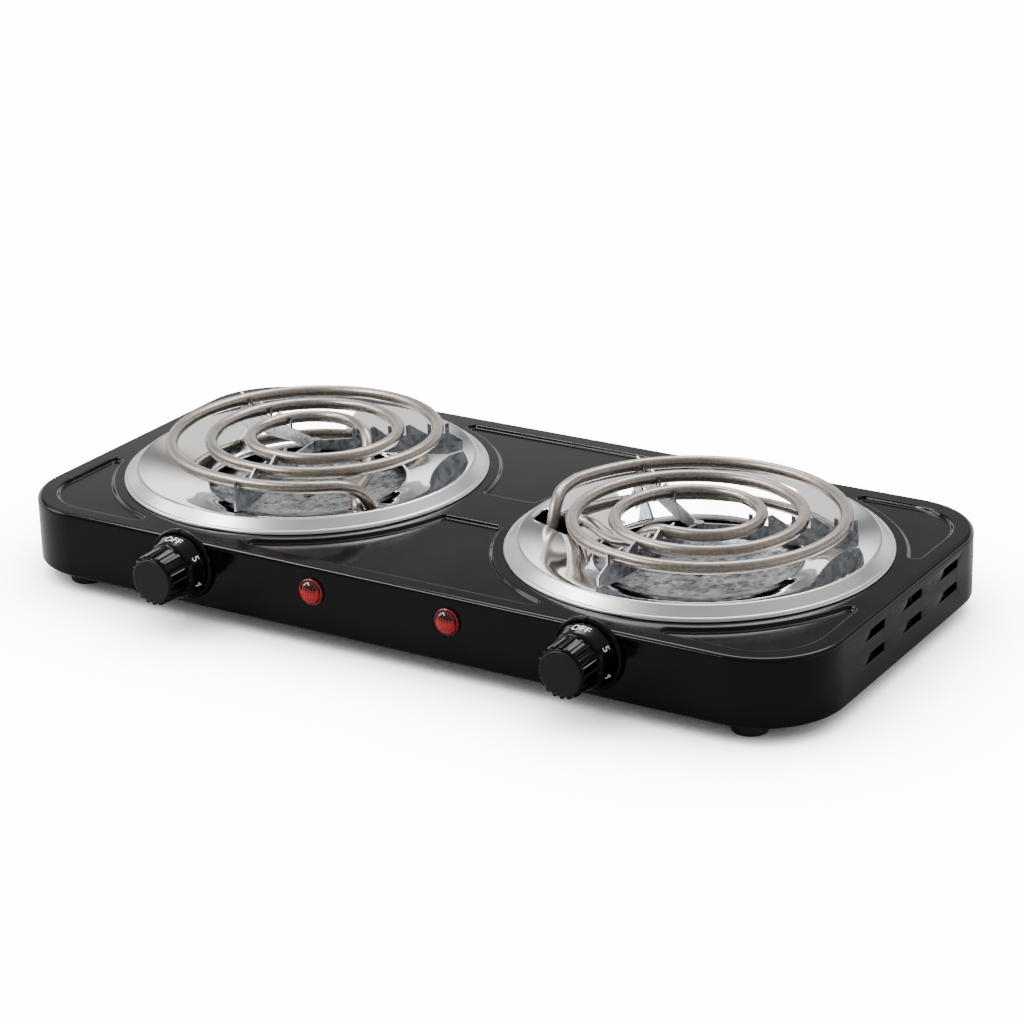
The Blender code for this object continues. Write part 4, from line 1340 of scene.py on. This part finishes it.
# ---------------------------------------------------------------- pans
@dataclass
class Burner:
    """One burner: its drip pan, its shield and its lift-up element.

    The pan's rim is given by steps inwards from its edge, and the other lines by radii, each with
    its height from the body's top. The slot's reach and sides are in its own frame.
    """

    side: str
    place: Vector
    slot_turn: float
    seat: float
    shift: Flat
    pan_radius: float = 100.5 * MM
    sheet: float = 0.7 * MM
    rim_line: Profile = in_mm((0.0, 0.4), (0.1, 1.0), (0.5, 1.6), (1.1, 1.9), (1.7, 1.8), (2.2, 2.0))
    crest_line: Profile = in_mm((94.1, 6.0), (93.5, 6.45), (92.9, 6.6), (92.2, 6.5), (91.3, 6.3))
    dish_line: Profile = in_mm((88.4, 5.65), (85.0, 4.75), (80.0, 3.3), (75.0, 1.85), (70.0, 0.4),
                               (65.5, -1.1), (61.0, -2.7), (58.4, -3.6), (56.6, -4.2), (55.2, -4.7),
                               (54.4, -5.3), (54.0, -6.1), (53.8, -6.8))
    slot_reach: Flat = (67.0 * MM, 89.0 * MM)
    slot_sides: Flat = (-7.2 * MM, 10.7 * MM)
    slot_depths: Flat = (-8.0 * MM, 12.0 * MM)
    slot_corner: float = 3.0 * MM
    shield_line: Profile = in_mm((62.5, -8.5), (61.4, -9.6), (60.0, -10.5), (54.0, -12.3), (48.0, -14.0),
                                 (40.0, -15.1), (30.0, -15.5), (12.0, -15.5), (2.4, -15.5))
    shield_sheet: float = 0.8 * MM
    tube: float = 3.3 * MM
    pitch: float = 21.75 * MM
    start_radius: float = 84.0 * MM
    start_turn: float = -19.0
    end_turn: float = -990.0
    hinge_drop: float = 11.0 * MM
    outer_leg: float = 6.5 * MM
    inner_leg: float = -2.5 * MM
    leg_end: float = 99.0 * MM

    def build(self) -> None:
        """Make the pan, the shield and the element."""
        ride(self.pan(), "body", "chrome", self.side + "_drip_pan")
        ride(self.shield(), "body", "galvanised", self.side + "_heat_shield")
        ride(self.coil(), self.side + "_element", "element_alloy", self.side + "_coil")

    def frame(self) -> Matrix:
        """Return the placing whose +X points to the slot, with z = 0 at the body's top."""
        place = Matrix.Translation(self.place + Vector((*self.shift, 0)))
        return place @ Matrix.Rotation(math.radians(self.slot_turn), 4, "Z")

    def pan(self) -> bpy.types.Object:
        """Make the spun pan with its rolled rim, raised satin band, bright dish and slot.

        Returns:
            The pan.
        """
        rim = [(self.pan_radius - step, height) for step, height in self.rim_line]
        line = [*rim, *self.crest_line, *self.dish_line]
        chrome = CHROME.make("_" + self.side, tuple(self.place))
        item = lathe(self.side + "_pan", sheet_outline(line, self.sheet), chrome, 192, closed=True)
        place_mesh(item, Matrix.Translation(self.place))
        cutter = self.slot_cutter(chrome)
        cut = item.modifiers.new("slot", "BOOLEAN")
        cut.operation = "DIFFERENCE"
        cut.solver = "EXACT"
        cut.object = cutter
        even_shading(item)
        return applied(item, cutter)

    def slot_cutter(self, chrome: bpy.types.Material) -> bpy.types.Object:
        """Make the block that cuts the leg slot.

        Args:
            chrome: The pan's material, which the cut edge keeps.

        Returns:
            The block.
        """
        inner, outer = self.slot_reach
        low, high = self.slot_sides
        radius = self.slot_corner
        outline = []
        for quarter, (x, y) in enumerate(((outer, high), (inner, high), (inner, low), (outer, low))):
            sx = -1 if quarter in (0, 3) else 1
            sy = -1 if quarter in (0, 1) else 1
            start = quarter * math.pi / 2
            outline += arc((x + sx * radius, y + sy * radius), radius, start, start + math.pi / 2, 6)
        shape = bmesh.new()
        loops = [add_loop(shape, ((x, y, z) for x, y in outline)) for z in self.slot_depths]
        bridge_all(shape, loops, capped=True)
        item = finish_mesh(self.side + "_slot_cutter", shape, chrome)
        return place_mesh(item, self.frame())

    def shield(self) -> bpy.types.Object:
        """Make the dished plate below the pan's opening.

        Returns:
            The shield.
        """
        zinc = SHIELD_ZINC.make("_" + self.side, tuple(self.place))
        outline = sheet_outline(self.shield_line, self.shield_sheet)
        item = lathe(self.side + "_shield", outline, zinc, 96, closed=True)
        return place_mesh(item, Matrix.Translation(self.place))

    def coil_radius(self, turn: float) -> float:
        """Return the spiral's radius at a turn in degrees, counted down from its start."""
        return self.start_radius - self.pitch * (self.start_turn - turn) / 360

    def path(self) -> list[Vector]:
        """Route the tube from terminal to terminal.

        Returns:
            The points of its centre line, in the slot's frame.
        """
        side, hinge, seat, tube = self.outer_leg, -self.hinge_drop, self.seat, self.tube
        outer = [(self.leg_end, side, hinge), (90.0 * MM, side, hinge),
                 (86.8 * MM, side, hinge + 1.2 * MM), (83.6 * MM, side, hinge + 4.6 * MM),
                 (81.2 * MM, side - 0.4 * MM, hinge + 9.0 * MM),
                 (80.0 * MM, side - 2.8 * MM, seat * 0.25), (80.6 * MM, -2.0 * MM, seat * 0.66),
                 (81.6 * MM, -12.0 * MM, seat * 0.93)]
        turns = []
        step = 5.0
        count = int((self.start_turn - self.end_turn) / step)
        for k in range(count + 1):
            turn = self.start_turn + (self.end_turn - self.start_turn) * k / count
            radius = self.coil_radius(turn)
            angle = math.radians(turn)
            turns.append((radius * math.cos(angle), radius * math.sin(angle), seat))
        across = self.coil_radius(self.end_turn)
        low = seat - 2 * tube - 2.2 * MM
        side = self.inner_leg
        inner = [(5.0 * MM, across, seat), (11.5 * MM, across - 0.2 * MM, seat),
                 (19.0 * MM, across - 1.6 * MM, seat - 3.0 * MM),
                 (28.0 * MM, across - 4.6 * MM, low - 0.6 * MM),
                 (42.0 * MM, across - 10.5 * MM, low - 3.6 * MM),
                 (58.0 * MM, side + 6.5 * MM, 5.0 * MM), (70.0 * MM, side + 1.8 * MM, 4.6 * MM),
                 (76.5 * MM, side, 2.6 * MM), (81.2 * MM, side, hinge + 6.2 * MM),
                 (85.0 * MM, side, hinge + 2.2 * MM), (90.0 * MM, side, hinge),
                 (self.leg_end, side, hinge)]
        steps = 8
        start = catmull(outer + turns[:2], steps)[:-(steps + 1)]
        finish = catmull([turns[-1]] + inner, steps)[1:]
        return start + [Vector(point) for point in turns] + finish

    def coil(self) -> bpy.types.Object:
        """Make the heating tube along its path.

        Returns:
            The tube.
        """
        curve = bpy.data.curves.new(self.side + "_path", "CURVE")
        curve.dimensions = "3D"
        spline = curve.splines.new("POLY")
        points = self.path()
        spline.points.add(len(points) - 1)
        for knot, point in zip(spline.points, points):
            knot.co = (*point, 1.0)
        carrier = bpy.data.objects.new(self.side + "_path", curve)
        bpy.context.scene.collection.objects.link(carrier)
        sheath = SHEATH.make("_" + self.side)
        item = tube_recipe().cook(self.side + "_element_tube", sheath,
                                  {"Radius": self.tube, "Sides": 24}, carrier, 60.0)
        return place_mesh(item, self.frame())


def catmull(knots: Sequence[Solid], steps: int) -> list[Vector]:
    """Return a Catmull-Rom curve through knots.

    Args:
        knots: The points to pass through.
        steps: How many points each stretch gets.

    Returns:
        The curve's points.
    """
    inner = [Vector(knot) for knot in knots]
    ends = [2 * inner[0] - inner[1]] + inner + [2 * inner[-1] - inner[-2]]
    points = []
    for a, b, c, d in zip(ends, ends[1:], ends[2:], ends[3:]):
        for j in range(steps):
            t = j / steps
            points.append(0.5 * (2 * b + (c - a) * t + (2 * a - 5 * b + 4 * c - d) * t ** 2
                                 + (3 * b - a - 3 * c + d) * t ** 3))
    return points + [inner[-1]]


# ---------------------------------------------------------------- controls
@dataclass
class Control:
    """One knob with its legend and bezel, and the pilot lamp beside it."""

    side: str
    layout: Layout
    reach: float = 28.5 * MM
    ribs: int = 20
    legend_turns: tuple[tuple[str, float], ...] = (
        ("OFF", 0.0), ("5", 60.0), ("4", 112.0), ("3", 164.0), ("2", 216.0), ("1", 268.0))
    word_size: float = 6.0 * MM
    number_size: float = 6.2 * MM
    legend_depth: float = 8.1 * MM
    shaft_bore: float = 3.4 * MM
    skirt_back: float = 3.6 * MM
    cone_foot: Flat = (16.6 * MM, 5.6 * MM)
    cone_top: Flat = (15.2 * MM, 12.0 * MM)
    rib_circle: float = 13.05 * MM
    rib_half: float = 1.15 * MM
    rib_heights: Flat = (-1.6 * MM, 0.85 * MM)
    rib_slope: float = 0.30 * MM
    bezel_line: Profile = in_mm((7.0, 0.2), (19.3, 0.2), (19.5, 1.4), (18.9, 2.9), (17.7, 3.2),
                                (17.3, 2.7), (7.0, 2.7))
    pointer_radius: float = 0.95 * MM
    pointer_reach: float = 18.7 * MM
    dome_radius: float = 6.3 * MM
    dome_rise: float = 4.3 * MM
    rim_line: Profile = in_mm((6.35, 0.2), (7.2, 0.2), (7.2, 1.1), (6.8, 1.6), (6.35, 1.6))

    def build(self) -> None:
        """Make the knob, its cap, ribs and legend, the bezel and the lamp."""
        body = self.side + "_knob"
        ride(self.knob(), body, "black_plastic", self.side + "_knob")
        ride(self.cap(), body, "black_plastic")
        ride(self.grip_ribs(), body, "black_plastic")
        for word, turn in self.legend_turns:
            ride(self.legend(word, turn), body, "wire_white")
        ride(self.bezel(), "body", "black_plastic", self.side + "_knob_bezel")
        ride(self.lens(), "body", "red_lens", self.side + "_lamp_lens")
        ride(self.lens_ring(), "body", "red_lens")

    def place(self, item: bpy.types.Object, spot: Vector) -> bpy.types.Object:
        """Move a piece made about +Z to its spot on the front panel, facing out."""
        return place_mesh(item, Matrix.Translation(spot) @ Matrix.Rotation(math.radians(90), 4, "X"))

    def knob(self) -> bpy.types.Object:
        """Make the skirt, the cone and the core of the grip.

        Returns:
            The knob without its cap and ribs.
        """
        bore, back = self.shaft_bore, self.skirt_back
        grip = [(bore, self.cone_top[1]), (bore, back), (16.9 * MM, back), (17.1 * MM, back + 0.9 * MM),
                self.cone_foot, self.cone_top, (14.4 * MM, 13.6 * MM), (13.2 * MM, 14.4 * MM),
                (12.7 * MM, self.reach - 2.0 * MM), (12.2 * MM, self.reach - 0.7 * MM),
                (11.2 * MM, self.reach - 0.5 * MM)]
        profile = [(0.0, 13.0 * MM)] + rounded(grip, 0.45 * MM, 3) + [(0.0, self.reach - 0.5 * MM)]
        item = lathe(self.side + "_knob_grip", profile, KNOB_GLOSS.make("_" + self.side), 120)
        return self.place(item, self.layout.knobs[self.side])

    def cap(self) -> bpy.types.Object:
        """Make the flat disc on the knob's end.

        Returns:
            The disc.
        """
        top = self.reach
        disc = [(11.6 * MM, top - 0.9 * MM), (11.6 * MM, top - 0.35 * MM), (11.1 * MM, top)]
        profile = [(0.0, top - 0.9 * MM)] + rounded(disc, 0.3 * MM, 4) + [(0.0, top)]
        item = lathe(self.side + "_knob_cap", profile, KNOB_MATT.make("_" + self.side), 96)
        return self.place(item, self.layout.knobs[self.side])

    def grip_ribs(self) -> bpy.types.Object:
        """Make the ribs round the grip, which thin out towards the cap.

        Returns:
            The ribs as one piece.
        """
        gloss = KNOB_GLOSS.make("_ribs_" + self.side)
        shape = bmesh.new()
        start, end = 12.6 * MM, self.reach - 1.4 * MM
        half = self.rib_half
        deep, high = self.rib_heights
        outline = [(deep, -half), (high - 0.45 * MM, -half), (high, -half + 0.4 * MM),
                   (high, half - 0.4 * MM), (high - 0.45 * MM, half), (deep, half)]
        loops = []
        for share, z in ((0.0, start), (1.0, end - 0.5 * MM), (1.35, end)):
            slim = share * self.rib_slope
            loops.append(add_loop(shape, ((x - slim if x > 0 else x, y * (1 - 0.06 * share), z)
                                          for x, y in outline)))
        bridge_all(shape, loops, capped=True)
        rib = finish_mesh("knob_rib", shape, gloss)
        sizes = {"Radius": self.rib_circle, "Count": self.ribs, "Shape": rib}
        item = circle_recipe().cook(self.side + "_knob_ribs", gloss, sizes)
        bpy.data.objects.remove(rib, do_unlink=True)
        return self.place(item, self.layout.knobs[self.side])

    def legend(self, word: str, turn: float) -> bpy.types.Object:
        """Print one word or number on the knob's cone.

        Args:
            word: The text.
            turn: Its place in degrees clockwise from the top, seen from the front.

        Returns:
            The text as a thin solid that follows the cone.
        """
        text = bpy.data.curves.new("legend", "FONT")
        text.body = word
        text.size = self.word_size if len(word) > 1 else self.number_size
        text.align_x = "CENTER"
        text.align_y = "CENTER"
        text.resolution_u = 3
        text.extrude = 0.05 * MM
        holder = bpy.data.objects.new("legend", text)
        bpy.context.scene.collection.objects.link(holder)
        bpy.context.view_layer.update()
        graph = bpy.context.evaluated_depsgraph_get()
        mesh = bpy.data.meshes.new_from_object(holder.evaluated_get(graph))
        bpy.data.objects.remove(holder, do_unlink=True)
        slope = (Vector(self.cone_top) - Vector(self.cone_foot)).normalized()
        outward = Vector((slope.y, -slope.x))
        radius, foot = self.cone_foot
        middle = Vector((radius + (self.legend_depth - foot) * slope.x / slope.y, self.legend_depth))
        for vert in mesh.vertices:
            u, v, w = vert.co
            spot = middle - slope * v + outward * (w + 0.03 * MM)
            angle = math.radians(turn) + u / middle.x
            vert.co = (spot.x * math.sin(angle), spot.x * math.cos(angle), spot.y)
        label = f"{self.side}_knob_mark_{word.lower()}"
        item = wrap(label, mesh, LEGEND.make("_" + label))
        item.data.flip_normals()
        return self.place(item, self.layout.knobs[self.side])

    def bezel(self) -> bpy.types.Object:
        """Make the disc behind the knob, with its pointer.

        Returns:
            The bezel.
        """
        gloss = KNOB_GLOSS.make("_bezel_" + self.side)
        item = lathe(self.side + "_bezel", rounded(self.bezel_line, 0.35 * MM, 3, closed=True), gloss,
                     128, closed=True)
        shape = bmesh.new()
        shape.from_mesh(item.data)
        outline = circle_points((0, 0), self.pointer_radius, 16)
        loops = []
        for grow, z in ((1.0, 1.2 * MM), (1.0, 3.4 * MM), (0.8, 3.75 * MM), (0.4, 3.9 * MM)):
            loops.append(add_loop(shape, ((x * grow, self.pointer_reach + y * grow * 1.6, z)
                                          for x, y in outline)))
        bridge_all(shape, loops, capped=True)
        bpy.data.objects.remove(item, do_unlink=True)
        item = finish_mesh(self.side + "_bezel", shape, gloss)
        return self.place(item, self.layout.knobs[self.side])

    def lens(self) -> bpy.types.Object:
        """Make the domed lens.

        Returns:
            The lens.
        """
        dome = [*in_mm((0.0, -6.0), (5.2, -6.0), (5.2, 0.6)), (self.dome_radius, 0.9 * MM)]
        steps = 14
        for k in range(1, steps + 1):
            angle = math.radians(90 * k / steps)
            radius = self.dome_radius * math.cos(angle) if k < steps else 0.0
            dome.append((radius, 1.0 * MM + self.dome_rise * math.sin(angle)))
        place = self.layout.lamps[self.side]
        item = lathe(self.side + "_lamp_dome", dome, LENS_RED.make("_" + self.side, tuple(place)), 72)
        return self.place(item, place)

    def lens_ring(self) -> bpy.types.Object:
        """Make the rim that the lens sits in.

        Returns:
            The rim.
        """
        item = lathe(self.side + "_lamp_rim", rounded(self.rim_line, 0.25 * MM, 3, closed=True),
                     LENS_RIM.make("_" + self.side), 72, closed=True)
        return self.place(item, self.layout.lamps[self.side])


# ---------------------------------------------------------------- carried-over nodes
CARRIED: dict[str, Finish] = {
    "coil_support": SUPPORT_ZINC,
    "leg_clamp": CERAMIC,
    "hinge_bracket": SUPPORT_ZINC,
    "shield_screw": SCREW_ZINC,
    "shield_spacer": SCREW_ZINC,
    "heat_switch": CERAMIC,
    "switch_screw_left": SCREW_ZINC,
    "switch_screw_right": SCREW_ZINC,
    "knob_shaft": SCREW_ZINC,
    "lamp_body": NYLON,
    "lamp_clip": SUPPORT_ZINC,
    "lamp_wire": WIRE,
    "supply_wire": WIRE,
    "front_foot_screw": SCREW_ZINC,
    "rear_foot_screw": SCREW_ZINC,
}


def dress_frame(nodes: dict[str, bpy.types.Object]) -> None:
    """Give every CAD node that stays its real finish.

    Args:
        nodes: The frame's nodes by name.
    """
    made: dict[str, bpy.types.Material] = {}
    finishes = {f"{side}_{part}": finish for side in SIDES for part, finish in CARRIED.items()}
    finishes["terminal_block"] = NYLON
    for name, finish in finishes.items():
        if finish.name not in made:
            made[finish.name] = finish.make("_frame")
        mesh = nodes[name].data
        mesh.materials.clear()
        mesh.materials.append(made[finish.name])
        LOG.info("%s: dressed as %s", name, finish.name)


# ---------------------------------------------------------------- studio
@dataclass(frozen=True)
class Softbox:
    """One rectangular area light: where it hangs, what it faces, its size and its power in watts."""

    name: str
    place: Solid
    target: Solid
    size: Flat
    power: float

    def build(self) -> None:
        """Hang the light and turn it to its target."""
        light = bpy.data.lights.new(self.name, "AREA")
        light.shape = "RECTANGLE"
        light.size, light.size_y = self.size
        light.energy = self.power
        item = bpy.data.objects.new(self.name, light)
        bpy.context.scene.collection.objects.link(item)
        item.location = self.place
        facing = Vector(self.target) - Vector(self.place)
        item.rotation_euler = facing.to_track_quat("-Z", "Y").to_euler()


@dataclass(frozen=True)
class Studio:
    """The pale floor, the surround, the soft lights and the camera."""

    lights: tuple[Softbox, ...] = (
        Softbox("overhead", (-0.2, 0.8, 1.25), (0.0, 0.0, 0.0), (1.2, 0.5), 26.0),
        Softbox("left_fill", (-1.5, -0.4, 0.9), (0.0, 0.0, 0.02), (0.7, 0.7), 12.0),
        Softbox("edge_strip", (-0.6, -0.43, 0.95), (0.0, -0.1, 0.04), (0.9, 0.10), 15.0))
    azimuth: float = 0.5559
    elevation: float = 0.3704
    roll: float = -0.0257
    lens: float = 107.55
    camera_place: Solid = (0.8091, -1.2749, 0.6316)
    floor_size: float = 6.0
    floor_tone: float = 0.38
    floor_glow: float = 14.0
    # Reach and strength of the painted contact shadow on the floor.
    shadow_reach: float = 0.10
    shadow_depth: float = 2.6
    dimmest: float = 0.17

    def build(self) -> None:
        """Make the floor, the lights and the camera."""
        self.floor()
        self.world()
        for light in self.lights:
            light.build()
        self.camera()

    def floor(self) -> None:
        """Make the floor, which looks white to the camera and grey beneath the body, where a painted
        contact shadow dims its glow.
        """
        shape = bmesh.new()
        bmesh.ops.create_grid(shape, x_segments=2, y_segments=2, size=self.floor_size)
        material = bpy.data.materials.new("studio_floor")
        material.use_nodes = True
        shader = material.node_tree.nodes["Principled BSDF"]
        shader.inputs["Base Color"].default_value = (*[self.floor_tone] * 3, 1.0)
        shader.inputs["Roughness"].default_value = 0.9
        shader.inputs["Specular IOR Level"].default_value = 0.0
        shader.inputs["Emission Color"].default_value = (1.0, 1.0, 1.0, 1.0)
        graph = Graph(material.node_tree)
        seen = graph.add("ShaderNodeLightPath").outputs["Is Camera Ray"]
        # Painted contact shadow: ambient occlusion dims the floor's camera-only glow near the body.
        nearby = graph.add("ShaderNodeAmbientOcclusion", samples=8)
        nearby.inputs["Distance"].default_value = self.shadow_reach
        painted_shadow_share = graph.math("POWER", nearby.outputs["AO"], self.shadow_depth)
        glow = graph.math("MULTIPLY", graph.between(seen, 0.0, self.floor_glow), painted_shadow_share)
        graph.link(glow, shader.inputs["Emission Strength"])
        finish_mesh("studio_floor", shape, material)

    def world(self) -> None:
        """Make the surround: bright low down and high up behind the body, and dimmer in front."""
        world = bpy.data.worlds.new("studio_surround")
        bpy.context.scene.world = world
        world.use_nodes = True
        graph = Graph(world.node_tree)
        place = graph.add("ShaderNodeTexCoord").outputs["Generated"]
        axes = graph.add("ShaderNodeSeparateXYZ")
        graph.link(place, axes.inputs["Vector"])
        behind = graph.between(axes.outputs["Y"], 0.35, 1.0, -0.6, 0.2)
        below = graph.between(axes.outputs["Z"], 2.2, 0.15, 0.16, 0.42)
        above = graph.between(axes.outputs["Z"], 0.0, 0.9, 0.43, 0.56)
        lit = graph.math("MULTIPLY", behind, graph.math("ADD", below, above))
        strength = graph.math("ADD", lit, self.dimmest)
        background = world.node_tree.nodes["Background"]
        background.inputs["Color"].default_value = (1.0, 1.0, 1.0, 1.0)
        graph.link(strength, background.inputs["Strength"])

    def camera(self) -> None:
        """Make the camera from its angles about the body and its roll."""
        back = Vector((math.sin(self.azimuth) * math.cos(self.elevation),
                       -math.cos(self.azimuth) * math.cos(self.elevation), math.sin(self.elevation)))
        right = (-back).cross(Vector((0, 0, 1))).normalized()
        up = right.cross(-back)
        turned_right = math.cos(self.roll) * right + math.sin(self.roll) * up
        turned_up = math.cos(self.roll) * up - math.sin(self.roll) * right
        data = bpy.data.cameras.new("view")
        data.sensor_width = 36.0
        data.lens = self.lens
        data.clip_start, data.clip_end = 0.01, 100.0
        item = bpy.data.objects.new("view", data)
        bpy.context.scene.collection.objects.link(item)
        turn = Matrix((turned_right, turned_up, back)).transposed()
        item.matrix_world = Matrix.Translation(self.camera_place) @ turn.to_4x4()
        bpy.context.scene.camera = item


def main() -> None:
    """Build the whole visual model around the frame."""
    logging.basicConfig(level=logging.INFO, format="%(name)s: %(message)s")
    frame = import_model()
    layout = Layout.read()
    dress_frame(frame["nodes"])
    housing = Housing(layout)
    housing.build()
    Base(housing).build()
    left, right = (layout.pans[side] for side in SIDES)
    Burner("left", left, slot_turn=323.0, seat=19.0 * MM, shift=(2.8 * MM, 4.9 * MM)).build()
    Burner("right", right, slot_turn=187.0, seat=16.0 * MM, shift=(0.0, 0.0)).build()
    for side in SIDES:
        Control(side, layout).build()
    Studio().build()


if __name__ == "__main__":
    main()
